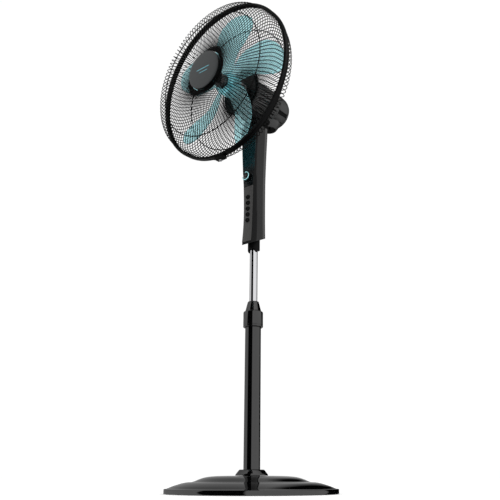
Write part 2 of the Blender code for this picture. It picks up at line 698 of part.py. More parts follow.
# ---------------------------------------------------------------- impeller
def blade_point(turn, chord_share, face):
    """A point of a blade: its station, its share of the half chord and its face, -1 or 1."""
    table = np.array(BLADE_STATIONS)
    sweep, half = (float(np.interp(turn, table[:, 0], table[:, i])) for i in (1, 2))
    along = math.sin(turn * math.pi / 2)
    radius = BLADE_ROOT + (BLADE_TIP - BLADE_ROOT) * along
    pitch = PITCH_ROOT + (PITCH_TIP - PITCH_ROOT) * along
    chord = chord_share * half
    camber = 0.10 * half * (1 - chord_share ** 2)
    lift = face * BLADE_THICK / 2 - camber
    around = chord * math.cos(pitch) + lift * math.sin(pitch)
    forward = BLADE_PLANE + BLADE_LEAN * (along - 0.5) - chord * math.sin(pitch)
    forward += lift * math.cos(pitch)
    angle = math.radians(sweep) + around / radius
    return radius * math.sin(angle), radius * math.cos(angle), forward


def blade(name, angle, mat, axis):
    """One paddle blade, as a closed solid turned clockwise by an angle."""
    stations = [0.0, 0.1, 0.2, 0.35, 0.5, 0.7, 0.8, 0.9, 0.97]
    shares = [-1.0, -0.5, 0.0, 0.5, 1.0]
    bm = bmesh.new()
    layers = []
    for face in (-1, 1):
        layers.append([[bm.verts.new(blade_point(turn, share, face)) for share in shares]
                       for turn in stations])
    back, front = layers
    for i in range(len(stations) - 1):
        for j in range(len(shares) - 1):
            for layer in layers:
                bm.faces.new((layer[i][j], layer[i + 1][j], layer[i + 1][j + 1],
                              layer[i][j + 1]))
        for j in (0, -1):
            bm.faces.new((back[i][j], back[i + 1][j], front[i + 1][j], front[i][j]))
    for i in (0, -1):
        for j in range(len(shares) - 1):
            bm.faces.new((back[i][j], back[i][j + 1], front[i][j + 1], front[i][j]))
    bmesh.ops.rotate(bm, verts=bm.verts, cent=(0, 0, 0), matrix=Matrix.Rotation(-angle, 3, "Z"))
    return add_piece(name, bm, mat, axis, HEAD, FACE_FORWARD)


def impeller(mat, axis):
    """Hub cup on the shaft with five wide blades."""
    outline = [
        (SHAFT_RADIUS + GAP, HUB_REAR + 0.004), (0.0090, HUB_REAR + 0.004),
        (0.0100, HUB_FRONT - 0.0060), (HUB_RADIUS - 0.0030, HUB_FRONT - 0.0080),
        (HUB_RADIUS - 0.0025, HUB_REAR), (HUB_RADIUS, HUB_REAR), (HUB_RADIUS, HUB_FRONT - 0.0030),
        (HUB_RADIUS - 0.0030, HUB_FRONT), (SHAFT_RADIUS + GAP, HUB_FRONT),
    ]
    hub = add_piece("impeller", turned(outline, 24), mat, axis, HEAD, FACE_FORWARD)
    for number in range(BLADES):
        angle = BLADE_START + math.tau * number / BLADES
        join(hub, blade(f"helper_blade_{number + 1}", angle, mat, axis))
    return hub


def spinner(mat, axis):
    """Cap screwed on the end of the shaft in front of the hub."""
    low = HUB_FRONT + GAP
    outline = [(SHAFT_RADIUS + GAP, low), (0.0190, low), (0.0190, low + 0.0117),
               (0.0165, low + 0.0197), (0.0090, low + 0.0242), (0, low + 0.0247),
               (0, low + 0.0172), (SHAFT_RADIUS + GAP, low + 0.0172)]
    return add_piece("spinner", turned(outline, 24), mat, axis, HEAD, FACE_FORWARD)


# ---------------------------------------------------------------- guards
def wire_guard(name, profile, mat, body):
    """Radial wires with rings at the marked places, as one solid."""
    bm = bmesh.new()
    spokes = []
    for number in range(GUARD_SPOKES):
        middle = math.tau * number / GUARD_SPOKES
        sides = []
        for side in (-1, 1):
            line = []
            for radius, place, _ in profile:
                angle = middle + side * math.asin(WIRE / 2 / radius)
                line.append(bm.verts.new((radius * math.sin(angle), radius * math.cos(angle),
                                          place)))
            sides.append(line)
        spokes.append(sides)
    for number, (left, right) in enumerate(spokes):
        following = spokes[(number + 1) % GUARD_SPOKES][0]
        for i, (_, _, has_ring) in enumerate(profile[:-1]):
            bm.faces.new((left[i], right[i], right[i + 1], left[i + 1]))
            if has_ring:
                bm.faces.new((right[i], following[i], following[i + 1], right[i + 1]))
    guard = add_piece(name, bm, mat, body, HEAD, FACE_FORWARD)
    thick = guard.modifiers.new("wire thickness", "SOLIDIFY")
    thick.thickness = WIRE
    thick.offset = 0.0
    return guard


def guard_ring(mat, body):
    """Band with two lips that holds the rims of both guards together."""
    lip, wall = 0.2146, 0.2176
    rear, front = RING_PLANE - 0.0072, RING_PLANE + 0.0072
    outline = [(lip, rear), (RING_OUTER - 0.0008, rear), (RING_OUTER, rear + 0.0010),
               (RING_OUTER, front - 0.0010), (RING_OUTER - 0.0008, front), (lip, front),
               (lip, front - 0.0016), (wall, front - 0.0016), (wall, rear + 0.0016),
               (lip, rear + 0.0016)]
    return add_piece("guard_ring", turned(outline, 48), mat, body, HEAD, FACE_FORWARD)


def ring_clip(mat, screw_mat, body):
    """Clip under the ring's lowest point and its screw."""
    top = HEAD_HEIGHT - RING_OUTER - GAP
    clip = block((-0.0150, -RING_PLANE - 0.0085, top - 0.0085),
                 (0.0150, -RING_PLANE + 0.0085, top), 0.0012)
    clip = add_piece("ring_clip", clip, mat, body)
    hole = add_piece("cutter_clip_hole", rod(0.0021, top - 0.02, top - 0.002, 12), mat, body,
                     (0, -RING_PLANE, 0))
    cut(clip, hole)
    outline = [(0, top - 0.0125), (0.0038, top - 0.0125), (0.0042, top - 0.0090),
               (0.0018, top - 0.0090), (0.0018, top - 0.0030), (0, top - 0.0030)]
    add_piece("ring_clip_screw", turned(outline, 12), screw_mat, body, (0, -RING_PLANE, 0))


def guard_fixings(mat, body):
    """Plate in the middle of the rear guard and the nut that holds it on the motor."""
    plate = [(0.0183, 0.0556), (0.0585, 0.0556), (0.0600, 0.0570), (0.0600, 0.0600),
             (0.0575, 0.0610), (0.0300, 0.0596), (0.0183, 0.0596)]
    add_piece("rear_guard_plate", turned(plate, 32), mat, body, HEAD, FACE_FORWARD)
    nut = [(0.0183, 0.0600), (0.0280, 0.0600), (0.0280, 0.0660), (0.0250, 0.0700),
           (0.0183, 0.0700)]
    add_piece("rear_guard_nut", turned(nut, 24), mat, body, HEAD, FACE_FORWARD)


def guard_badge(mat, base_mat, body):
    """Round front plate and the cup behind it that grips the inner ends of the wires."""
    radius = BADGE_RADIUS
    cup = [(0, 0.1800), (radius - 0.0060, 0.1800), (radius - 0.0010, 0.1830), (radius, 0.1850),
           (radius, 0.1945), (radius - 0.0030, 0.1962), (radius - 0.0030, 0.1972), (0, 0.1972)]
    add_piece("badge_base", turned(cup, 32), base_mat, body, HEAD, FACE_FORWARD)
    low = 0.1975
    face = [(0, low), (radius - 0.0040, low), (radius - 0.0035, low + 0.0005),
            (radius - 0.0040, BADGE_FACE - 0.0045), (0.6 * radius, BADGE_FACE - 0.0015),
            (0.3 * radius, BADGE_FACE - 0.0003), (0, BADGE_FACE)]
    add_piece("badge_cover", turned(face, 32), mat, body, HEAD, FACE_FORWARD)


# ---------------------------------------------------------------- assembly
def build():
    clear_scene()
    gloss = make_material("gloss black plastic", (0.010, 0.010, 0.011), 0.12)
    satin = make_material("satin dark grey plastic", (0.045, 0.045, 0.045), 0.38)
    black = make_material("matt black plastic", (0.014, 0.014, 0.014), 0.50)
    tube_black = make_material("black enamelled tube", (0.012, 0.012, 0.013), 0.15)
    panel_black = make_material("dark panel", (0.010, 0.018, 0.022), 0.10)
    light_ring = make_material("pale cyan ring", (0.25, 0.70, 0.80), 0.35)
    wire = make_material("black coated wire", (0.012, 0.012, 0.012), 0.35)
    tinted = make_material("turquoise clear plastic", (0.05, 0.55, 0.65), 0.08)
    chrome = make_material("chrome", (0.82, 0.82, 0.83), 0.06, 1.0)
    steel = make_material("plain steel", (0.45, 0.45, 0.46), 0.35, 1.0)
    weight = make_material("painted steel", (0.03, 0.03, 0.03), 0.55, 0.2)
    rubber = make_material("black rubber", (0.02, 0.02, 0.02), 0.85)
    copper = make_material("copper winding", (0.55, 0.24, 0.10), 0.40, 1.0)

    stand = add_axis("stand")
    base_cover(gloss, stand)
    base_weight(weight, stand)
    rubber_feet(rubber, stand)
    base_bolt(steel, stand)
    tube_plug(black, stand)
    foot_flange(gloss, stand)
    lower_tube(tube_black, stand)
    tube_bush(black, stand)
    height_nut(gloss, stand)

    column = add_axis("column", stand)
    inner_pole(chrome, column)
    neck_collar(black, column)
    neck_lock_screw(black, column)
    neck_front_shell(gloss, column)
    neck_rear_shell(gloss, column)
    neck_cap(black, column)
    display_panel(panel_black, column)
    button_panel(satin, column)
    push_buttons(black, column)
    timer_knob(black, light_ring, column)
    neck_inside(black, steel, column)
    pivot_block(steel, column)
    tilt_bolt(steel, column)

    tilt = add_axis("tilt", column)
    tilt_yoke(black, tilt)
    link_screw(steel, tilt)
    oscillation_link(steel, tilt)

    swivel = add_axis("swivel", tilt)
    head_bracket(black, swivel)
    oscillation_crank(steel, swivel)
    motor_front_housing(black, swivel)
    motor_rear_cover(black, swivel)
    motor_inside(steel, copper, black, swivel)
    pull_knob(black, swivel)
    guard_fixings(black, swivel)
    wire_guard("rear_guard", REAR_GUARD, wire, swivel)
    wire_guard("front_guard", FRONT_GUARD, wire, swivel)
    guard_ring(gloss, swivel)
    ring_clip(black, steel, swivel)
    guard_badge(satin, black, swivel)

    rotor = add_axis("rotor", swivel)
    rotor_and_shaft(steel, steel, rotor)
    impeller(tinted, rotor)
    spinner(black, rotor)


build()
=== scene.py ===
"""Visual model of the pedestal fan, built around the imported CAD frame.

Metres, +Z up, the fan faces -Y.  Places come from the CAD nodes' boxes.
"""
import math

import bmesh
import bpy
from mathutils import Matrix, Vector


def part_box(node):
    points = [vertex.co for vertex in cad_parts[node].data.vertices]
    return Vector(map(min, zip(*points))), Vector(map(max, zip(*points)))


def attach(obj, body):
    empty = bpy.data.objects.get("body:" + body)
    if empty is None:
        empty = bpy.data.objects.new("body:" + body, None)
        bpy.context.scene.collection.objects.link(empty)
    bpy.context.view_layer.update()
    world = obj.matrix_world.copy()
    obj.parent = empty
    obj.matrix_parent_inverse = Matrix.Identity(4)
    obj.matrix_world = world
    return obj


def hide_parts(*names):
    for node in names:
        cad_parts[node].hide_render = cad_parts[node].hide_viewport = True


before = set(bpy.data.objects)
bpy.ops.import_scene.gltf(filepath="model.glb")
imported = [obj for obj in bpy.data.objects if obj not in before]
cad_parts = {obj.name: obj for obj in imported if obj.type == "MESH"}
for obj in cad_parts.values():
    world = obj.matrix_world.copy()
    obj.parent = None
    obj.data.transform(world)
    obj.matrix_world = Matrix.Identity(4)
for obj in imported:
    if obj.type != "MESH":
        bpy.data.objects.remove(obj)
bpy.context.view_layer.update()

# ---------------------------------------------------------------- places read from the frame
RING_LOW, RING_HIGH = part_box("guard_ring")
HEAD_Z = (RING_LOW.z + RING_HIGH.z) / 2
RING_R = (RING_HIGH.x - RING_LOW.x) / 2
RING_AT = -(RING_LOW.y + RING_HIGH.y) / 2       # along the head axis, forwards is positive
RING_HALF = (RING_HIGH.y - RING_LOW.y) / 2
HEAD = Vector((0.0, 0.0, HEAD_Z))
BASE_LOW, BASE_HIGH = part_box("base_cover")
BASE_R = BASE_HIGH.x
MOTOR_LOW, MOTOR_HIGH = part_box("motor_front_housing")
MOTOR_R = (MOTOR_HIGH.x - MOTOR_LOW.x) / 2
BADGE_LOW, BADGE_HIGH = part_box("badge_cover")
BADGE_R = (BADGE_HIGH.x - BADGE_LOW.x) / 2
BADGE_BACK = -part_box("badge_base")[1].y

FORWARD = (math.radians(90), 0.0, 0.0)          # turns +Z of a turned part to the front
CAMERA_TURN = math.radians(39.9)                # how far round to the fan's left side it stands

GUARD_WIRES = 120
WIRE_R = 0.00102


# ---------------------------------------------------------------- materials
def material(name, colour, roughness, metallic=0.0, specular=0.5, coat=0.0, grain=900.0,
             bump=0.0, bump_depth=0.0002, spread=0.15, tint=0.12, stretch=(1, 1, 1)):
    """Moulded or painted finish: uneven gloss, faint colour drift and a fine bump."""
    mat = bpy.data.materials.new(name)
    mat.use_nodes = True
    nodes, links = mat.node_tree.nodes, mat.node_tree.links
    shader = nodes["Principled BSDF"]
    shader.inputs["Metallic"].default_value = metallic
    shader.inputs["Specular IOR Level"].default_value = specular
    shader.inputs["Coat Weight"].default_value = coat
    shader.inputs["Coat Roughness"].default_value = 0.04
    coords = nodes.new("ShaderNodeTexCoord")
    mapping = nodes.new("ShaderNodeMapping")
    mapping.inputs["Scale"].default_value = stretch
    links.new(coords.outputs["Object"], mapping.inputs["Vector"])
    drift = nodes.new("ShaderNodeTexNoise")
    drift.inputs["Scale"].default_value = 14.0
    drift.inputs["Detail"].default_value = 4.0
    links.new(mapping.outputs["Vector"], drift.inputs["Vector"])
    gloss = remap(mat.node_tree, drift.outputs["Fac"],
                  to_min=max(0.0, roughness * (1 - spread)), to_max=roughness * (1 + spread))
    links.new(gloss, shader.inputs["Roughness"])
    blend = nodes.new("ShaderNodeMix")
    blend.data_type = "RGBA"
    blend.inputs["A"].default_value = (*[c * (1 - tint) for c in colour], 1.0)
    blend.inputs["B"].default_value = (*[min(1.0, c * (1 + tint)) for c in colour], 1.0)
    links.new(drift.outputs["Fac"], blend.inputs["Factor"])
    links.new(blend.outputs["Result"], shader.inputs["Base Color"])
    if bump:
        fine = nodes.new("ShaderNodeTexNoise")
        fine.inputs["Scale"].default_value = grain
        fine.inputs["Detail"].default_value = 3.0
        links.new(mapping.outputs["Vector"], fine.inputs["Vector"])
        relief = nodes.new("ShaderNodeBump")
        relief.inputs["Strength"].default_value = bump
        relief.inputs["Distance"].default_value = bump_depth
        links.new(fine.outputs["Fac"], relief.inputs["Height"])
        links.new(relief.outputs["Normal"], shader.inputs["Normal"])
    return mat


def remap(tree, source, **limits):
    """Map Range node with limits such as from_min; gives its result."""
    node = tree.nodes.new("ShaderNodeMapRange")
    for key, value in limits.items():
        node.inputs[key.replace("_", " ").title()].default_value = value
    tree.links.new(source, node.inputs["Value"])
    return node.outputs["Result"]


def calculate(tree, operation, *values, clamp=False):
    """Math node of sockets or plain numbers; gives its value."""
    node = tree.nodes.new("ShaderNodeMath")
    node.operation = operation
    node.use_clamp = clamp
    for socket, value in zip(node.inputs, values):
        if isinstance(value, float):
            socket.default_value = value
        else:
            tree.links.new(value, socket)
    return node.outputs["Value"]


def dotted_panel_material():
    """Gloss black with a print of small teal dots on a staggered grid."""
    mat = material("display print", (0.0016, 0.0028, 0.0034), 0.12, specular=0.10, tint=0.3)
    nodes, links = mat.node_tree.nodes, mat.node_tree.links
    shader = nodes["Principled BSDF"]
    coords = nodes.new("ShaderNodeTexCoord")
    upright = nodes.new("ShaderNodeMapping")
    upright.inputs["Rotation"].default_value = (math.radians(90), 0.0, 0.0)
    links.new(coords.outputs["Object"], upright.inputs["Vector"])
    parts = nodes.new("ShaderNodeSeparateXYZ")
    links.new(upright.outputs["Vector"], parts.inputs["Vector"])
    flat = nodes.new("ShaderNodeCombineXYZ")
    links.new(parts.outputs["X"], flat.inputs["X"])
    links.new(parts.outputs["Y"], flat.inputs["Y"])
    grid = nodes.new("ShaderNodeMapping")
    grid.inputs["Rotation"].default_value = (0.0, 0.0, math.radians(45))
    grid.inputs["Scale"].default_value = (1 / 0.0036,) * 3
    links.new(flat.outputs["Vector"], grid.inputs["Vector"])
    dots = nodes.new("ShaderNodeTexVoronoi")
    dots.inputs["Scale"].default_value = 1.0
    dots.inputs["Randomness"].default_value = 0.0
    links.new(grid.outputs["Vector"], dots.inputs["Vector"])
    edge = remap(mat.node_tree, dots.outputs["Distance"], from_min=0.24, from_max=0.30,
                 to_min=1.0, to_max=0.0)
    fade = remap(mat.node_tree, parts.outputs["Y"], from_min=-0.800, from_max=-0.825)
    shown = calculate(mat.node_tree, "MULTIPLY", edge, fade)
    ground = shader.inputs["Base Color"].links[0].from_socket
    mix = nodes.new("ShaderNodeMix")
    mix.data_type = "RGBA"
    mix.inputs["B"].default_value = (0.010, 0.075, 0.090, 1.0)
    links.new(shown, mix.inputs["Factor"])
    links.new(ground, mix.inputs["A"])
    links.new(mix.outputs["Result"], shader.inputs["Base Color"])
    return mat


def blade_material():
    """Clear turquoise plastic: light passes through and takes its colour."""
    mat = material("turquoise clear plastic", (0.52, 0.88, 0.92), 0.14, specular=0.3, tint=0.04,
                   bump=0.05, grain=120.0)
    shader = mat.node_tree.nodes["Principled BSDF"]
    shader.inputs["Transmission Weight"].default_value = 0.88
    shader.inputs["IOR"].default_value = 1.20
    return mat


MATS = {
    "gloss": material("gloss black plastic", (0.0012, 0.0012, 0.0013), 0.035, bump=0.012,
                      grain=60.0, bump_depth=0.0004),
    "tube": material("black enamelled steel", (0.0010, 0.0010, 0.0011), 0.03, bump=0.010,
                     grain=45.0, bump_depth=0.0004, stretch=(1, 1, 0.15)),
    "ring": material("black ring plastic", (0.0015, 0.0015, 0.0016), 0.30, specular=0.06,
                     bump=0.10, grain=900.0, bump_depth=0.00005),
    "satin": material("satin grey plastic", (0.040, 0.039, 0.038), 0.38, specular=0.20,
                      bump=0.25, grain=1500.0, bump_depth=0.00004),
    "side": material("dark grey side plastic", (0.0150, 0.0150, 0.0150), 0.36, specular=0.11,
                     bump=0.25, grain=1500.0, bump_depth=0.00004),
    # darker copy of the side plastic for the neck's forward-facing bevel faces: painted shade
    "bevel": material("painted shade bevel plastic", (0.0050, 0.0050, 0.0051), 0.36, specular=0.07,
                      bump=0.25, grain=1500.0, bump_depth=0.00004),
    "matt": material("textured black plastic", (0.0028, 0.0028, 0.0029), 0.50, specular=0.05,
                     bump=0.45, grain=1100.0, bump_depth=0.00008),
    "housing": material("motor housing plastic", (0.036, 0.036, 0.036), 0.36, specular=0.22,
                        bump=0.35, grain=1200.0, bump_depth=0.00006),
    "slot": material("shaded slot plastic", (0.0030, 0.0030, 0.0030), 0.60, specular=0.06,
                     bump=0.30, grain=900.0, bump_depth=0.00006),
    "badge": material("brushed badge plate", (0.030, 0.033, 0.034), 0.34, specular=0.18,
                      bump=0.35, grain=700.0, bump_depth=0.00005, stretch=(1, 14, 14)),
    "wire": material("coated guard wire", (0.0018, 0.0018, 0.0018), 0.40, specular=0.06,
                     bump=0.10, grain=600.0),
    "mark": material("pale cyan print", (0.08, 0.30, 0.36), 0.35, bump=0.1),
    "cyan_ring": material("pale cyan ring", (0.42, 0.86, 0.92), 0.30, bump=0.05),
    "legend": material("pale grey print", (0.10, 0.11, 0.11), 0.40, bump=0.05),
    "chrome": material("chromed pole", (0.40, 0.40, 0.41), 0.05, metallic=1.0, bump=0.02,
                       grain=30.0, stretch=(1, 1, 0.1)),
    "steel": material("plain steel", (0.42, 0.42, 0.43), 0.32, metallic=1.0, bump=0.2),
    "painted": material("painted steel plate", (0.012, 0.012, 0.012), 0.55, bump=0.3),
    "rubber": material("black rubber", (0.010, 0.010, 0.010), 0.80, specular=0.2, bump=0.5,
                       grain=700.0),
    "copper": material("copper winding", (0.42, 0.17, 0.06), 0.35, metallic=1.0, bump=0.5,
                       grain=400.0),
    "panel": dotted_panel_material(),
    "blade": blade_material(),
}


# ---------------------------------------------------------------- mesh tools
def spin(outline, segments=128):
    """A closed (radius, height) outline turned about Z."""
    bm = bmesh.new()
    corners = [bm.verts.new((radius, 0.0, height)) for radius, height in outline]
    edges = [bm.edges.new(pair) for pair in zip(corners, corners[1:] + corners[:1])
             if pair[0].co.x > 0 or pair[1].co.x > 0]
    bmesh.ops.spin(bm, geom=corners + edges, cent=(0, 0, 0), axis=(0, 0, 1), angle=math.tau,
                   steps=segments, use_merge=True)
    return bm


def corner_arc(before, here, after, radius, steps):
    """Points of a short arc in place of the corner between two neighbours."""
    back, ahead = before - here, after - here
    reach = min(radius, 0.45 * back.length, 0.45 * ahead.length)
    start, end = here + back.normalized() * reach, here + ahead.normalized() * reach
    shares = [step / steps for step in range(steps + 1)]
    return [start * (1 - t) ** 2 + here * 2 * t * (1 - t) + end * t ** 2 for t in shares]


def rounded(outline, radius=0.001, steps=4):
    """The same closed outline with each corner replaced by a short arc."""
    result = []
    for i, corner in enumerate(outline):
        here = Vector(corner)
        before, after = Vector(outline[i - 1]), Vector(outline[(i + 1) % len(outline)])
        if here.x <= 0 or min((before - here).length, (after - here).length) < 1e-5:
            result.append(tuple(here))
            continue
        result += [(max(point.x, 0.0), point.y)
                   for point in corner_arc(before, here, after, radius, steps)]
    return result


def block(low, high, bevel=0.001, segments=3):
    bm = bmesh.new()
    low, high = Vector(low), Vector(high)
    size = Matrix.Diagonal((*(high - low), 1.0))
    bmesh.ops.create_cube(bm, size=1.0, matrix=Matrix.Translation((low + high) / 2) @ size)
    bmesh.ops.bevel(bm, geom=bm.edges, offset=bevel, segments=segments, profile=0.5,
                    affect="EDGES")
    return bm


def skin(sections, closed_ends=True):
    """Skin a row of closed outlines that have the same number of points."""
    bm = bmesh.new()
    rings = [[bm.verts.new(point) for point in section] for section in sections]
    count = len(rings[0])
    for lower, upper in zip(rings, rings[1:]):
        for i in range(count):
            j = (i + 1) % count
            bm.faces.new((lower[i], lower[j], upper[j], upper[i]))
    if closed_ends:
        bm.faces.new(rings[0])
        bm.faces.new(rings[-1])
    return bm


def mesh_of(name, bm):
    mesh = bpy.data.meshes.new(name)
    bm.to_mesh(mesh)
    bm.free()
    return mesh


def pinch(vert, depth):
    """Move a point towards the Z axis."""
    share = 1 - depth / math.hypot(vert.co.x, vert.co.y)
    vert.co.x *= share
    vert.co.y *= share


def finish_piece(piece, body, replaces=()):
    if replaces:
        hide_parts(*replaces)
    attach(piece, body)
    return piece


def add(name, bm, mat, body, replaces=(), at=(0, 0, 0), turn=(0, 0, 0), sharp=40.0):
    """Make an object of a bmesh and let it ride on a body."""
    bmesh.ops.remove_doubles(bm, verts=bm.verts, dist=1e-6)
    bmesh.ops.recalc_face_normals(bm, faces=bm.faces)
    mesh = mesh_of(name, bm)
    for one in (mat if isinstance(mat, (list, tuple)) else [mat]):
        mesh.materials.append(MATS[one])
    mesh.shade_smooth()
    mesh.set_sharp_from_angle(angle=math.radians(sharp))
    piece = bpy.data.objects.new(name, mesh)
    bpy.context.scene.collection.objects.link(piece)
    piece.location = at
    piece.rotation_euler = turn
    return finish_piece(piece, body, replaces)


def add_wires(name, lines, radius, mat, body, replaces=(), at=(0, 0, 0), turn=(0, 0, 0),
              cyclic=False, sides=2):
    """Round wires along lists of points, as one curve object."""
    curve = bpy.data.curves.new(name, "CURVE")
    curve.dimensions = "3D"
    curve.bevel_depth = radius
    curve.bevel_resolution = sides
    curve.use_fill_caps = not cyclic
    for line in lines:
        spline = curve.splines.new("POLY")
        spline.points.add(len(line) - 1)
        for point, place in zip(spline.points, line):
            point.co = (*place, 1.0)
        spline.use_cyclic_u = cyclic
    curve.materials.append(MATS[mat])
    piece = bpy.data.objects.new(name, curve)
    bpy.context.scene.collection.objects.link(piece)
    piece.location = at
    piece.rotation_euler = turn
    return finish_piece(piece, body, replaces)


def circle_points(radius, place, count=180):
    return [(radius * math.sin(math.tau * i / count), radius * math.cos(math.tau * i / count),
             place) for i in range(count)]


# ---------------------------------------------------------------- camera, light, floor
def add_camera():
    """Low camera to the fan's left, looking up, with the pole a little off its axis."""
    pitch = math.radians(18.87)
    distance, side, height = 1.6272, 0.047, 0.0353
    data = bpy.data.cameras.new("camera")
    data.sensor_width = 36.0
    data.lens = 48.05
    data.shift_x = -0.0441
    data.shift_y = -0.0012
    data.clip_start = 0.05
    camera = bpy.data.objects.new("camera", data)
    bpy.context.scene.collection.objects.link(camera)
    turn = CAMERA_TURN
    camera.location = (distance * math.sin(turn) + side * math.cos(turn),
                       -distance * math.cos(turn) + side * math.sin(turn), height)
    camera.rotation_euler = (math.radians(90) + pitch, 0.0, turn)
    bpy.context.scene.camera = camera


def add_world():
    """White surroundings; in reflections, upright light and dark studio panels."""
    world = bpy.data.worlds.new("studio")
    bpy.context.scene.world = world
    world.use_nodes = True
    nodes, links = world.node_tree.nodes, world.node_tree.links
    nodes.clear()
    output = nodes.new("ShaderNodeOutputWorld")
    white = nodes.new("ShaderNodeBackground")
    white.inputs["Color"].default_value = (1.0, 1.0, 1.0, 1.0)
    white.inputs["Strength"].default_value = 1.02
    panels = nodes.new("ShaderNodeBackground")
    panels.inputs["Strength"].default_value = 1.75
    coords = nodes.new("ShaderNodeTexCoord")
    parts = nodes.new("ShaderNodeSeparateXYZ")
    links.new(coords.outputs["Generated"], parts.inputs["Vector"])
    forwards = calculate(world.node_tree, "MULTIPLY", parts.outputs["Y"], -1.0)
    azimuth = calculate(world.node_tree, "ARCTAN2", parts.outputs["X"], forwards)
    share = remap(world.node_tree, azimuth, from_min=-math.pi, from_max=math.pi)
    ramp = nodes.new("ShaderNodeValToRGB")
    ramp.color_ramp.interpolation = "LINEAR"
    stops = ramp.color_ramp.elements
    # azimuth in degrees, 0 in front of the fan and 90 on its left side, and brightness
    levels = [(-180, 0.0), (-149, 0.0), (-144, 0.26), (-120, 0.13), (-100, 0.22), (-80, 0.45),
              (-60, 0.70), (-33, 0.92), (-29, 0.0), (31, 0.0), (35, 1.05), (100, 1.0),
              (120, 0.94), (140, 0.74), (155, 0.52), (160, 0.0)]
    stops[0].position = 0.0
    stops[0].color = (0, 0, 0, 1)
    stops[1].position = 1.0
    stops[1].color = (0, 0, 0, 1)
    for angle, value in levels[1:]:
        stop = stops.new((angle + 180) / 360)
        stop.color = (value, value, value, 1)
    links.new(share, ramp.inputs["Fac"])
    links.new(ramp.outputs["Color"], panels.inputs["Color"])
    path = nodes.new("ShaderNodeLightPath")
    pick = nodes.new("ShaderNodeMixShader")
    mirrored_ray = calculate(world.node_tree, "SUBTRACT", path.outputs["Is Glossy Ray"],
                             path.outputs["Is Transmission Ray"], clamp=True)
    links.new(mirrored_ray, pick.inputs["Fac"])
    links.new(white.outputs["Background"], pick.inputs[1])
    links.new(panels.outputs["Background"], pick.inputs[2])
    links.new(pick.outputs["Shader"], output.inputs["Surface"])


def add_floor():
    """Pale floor that runs into the white surroundings."""
    mat = bpy.data.materials.new("pale floor")
    mat.use_nodes = True
    nodes, links = mat.node_tree.nodes, mat.node_tree.links
    shader = nodes["Principled BSDF"]
    shader.inputs["Roughness"].default_value = 0.9
    shader.inputs["Specular IOR Level"].default_value = 0.0
    shader.inputs["Emission Color"].default_value = (1.0, 1.0, 1.0, 1.0)
    shader.inputs["Emission Strength"].default_value = 0.16
    grain = nodes.new("ShaderNodeTexNoise")
    grain.inputs["Scale"].default_value = 6.0
    tone = nodes.new("ShaderNodeMix")
    tone.data_type = "RGBA"
    tone.inputs["A"].default_value = (0.93, 0.93, 0.93, 1.0)
    tone.inputs["B"].default_value = (0.97, 0.97, 0.97, 1.0)
    links.new(grain.outputs["Fac"], tone.inputs["Factor"])
    links.new(tone.outputs["Result"], shader.inputs["Base Color"])
    bm = bmesh.new()
    bmesh.ops.create_circle(bm, cap_ends=True, radius=9.0, segments=96)
    mesh = mesh_of("floor", bm)
    mesh.materials.append(mat)
    floor = bpy.data.objects.new("floor", mesh)
    floor.visible_glossy = False
    floor.location.z = -0.0002
    bpy.context.scene.collection.objects.link(floor)


# ---------------------------------------------------------------- base and pole
def build_base():
    r = BASE_R
    rim_low, top = BASE_LOW.z, BASE_HIGH.z
    outer = [
        (r - 0.0006, rim_low), (r, rim_low + 0.0006), (r, 0.0101), (r - 0.0008, 0.0108),
        (r - 0.0030, 0.0109), (r - 0.0060, 0.0114), (r - 0.0100, 0.0127), (0.1850, 0.0149),
        (0.1790, 0.0171), (0.1720, 0.0193), (0.1620, 0.0223), (0.1520, 0.0244),
        (0.1440, 0.0253), (0.1385, 0.0254), (0.1365, 0.0257), (0.1335, 0.0266),
        (0.1285, 0.0284), (0.1225, 0.0308), (0.1160, 0.0331), (0.1090, 0.0351),
        (0.1030, 0.0363), (0.0960, 0.0373), (0.0830, 0.0383), (0.0680, 0.0388),
        (0.0530, 0.0390), (0.0400, 0.0391), (0.0212, top),
    ]
    wall = 0.0024
    inner = [(0.0212, top - wall), (0.0830, 0.0358), (0.1090, 0.0325), (0.1320, 0.0244),
             (0.1520, 0.0220), (0.1850, 0.0124), (r - wall, 0.0085), (r - wall, rim_low)]
    add("base_shell", spin(outer + inner, 192), "gloss", "stand", ["base_cover"],
        sharp=50)
    low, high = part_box("foot_flange")
    flange = [
        (0.0198, low.z), (0.0378, low.z), (0.0380, low.z + 0.0010), (0.0376, low.z + 0.0024),
        (0.0360, low.z + 0.0044), (0.0330, low.z + 0.0081), (0.0302, low.z + 0.0115),
        (0.0294, high.z - 0.0008), (0.0284, high.z), (0.0198, high.z),
    ]
    add("flange_shell", spin(flange, 96), "gloss", "stand", ["foot_flange"])
    low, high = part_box("lower_tube")
    tube = rounded([(0.0180, low.z), (0.0195, low.z), (0.0195, high.z), (0.0180, high.z)],
                   0.0004)
    add("tube_shell", spin(tube, 96), "tube", "stand", ["lower_tube"])


def build_height_nut():
    """Grip nut: plain barrel with a lip below and a cone above."""
    low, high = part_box("height_nut")
    r = high.x
    bottom, top = low.z, high.z
    shoulder = bottom + 0.039
    outline = [
        (0.0200, bottom), (r - 0.0006, bottom), (r, bottom + 0.0006), (r, bottom + 0.0040),
        (r - 0.0004, bottom + 0.0044), (r - 0.0004, bottom + 0.0050), (r, bottom + 0.0054),
        (r, shoulder - 0.0022), (r - 0.0008, shoulder - 0.0006), (r - 0.0032, shoulder + 0.0008),
        (0.0205, shoulder + 0.0012), (0.0200, shoulder + 0.0016), (0.0140, top - 0.0012),
        (0.0128, top), (0.0107, top), (0.0107, 0.4410), (0.0142, 0.4405), (0.0142, 0.4035),
        (0.0200, 0.4032),
    ]
    add("nut_shell", spin(outline, 96), "gloss", "height_nut", ["height_nut"])


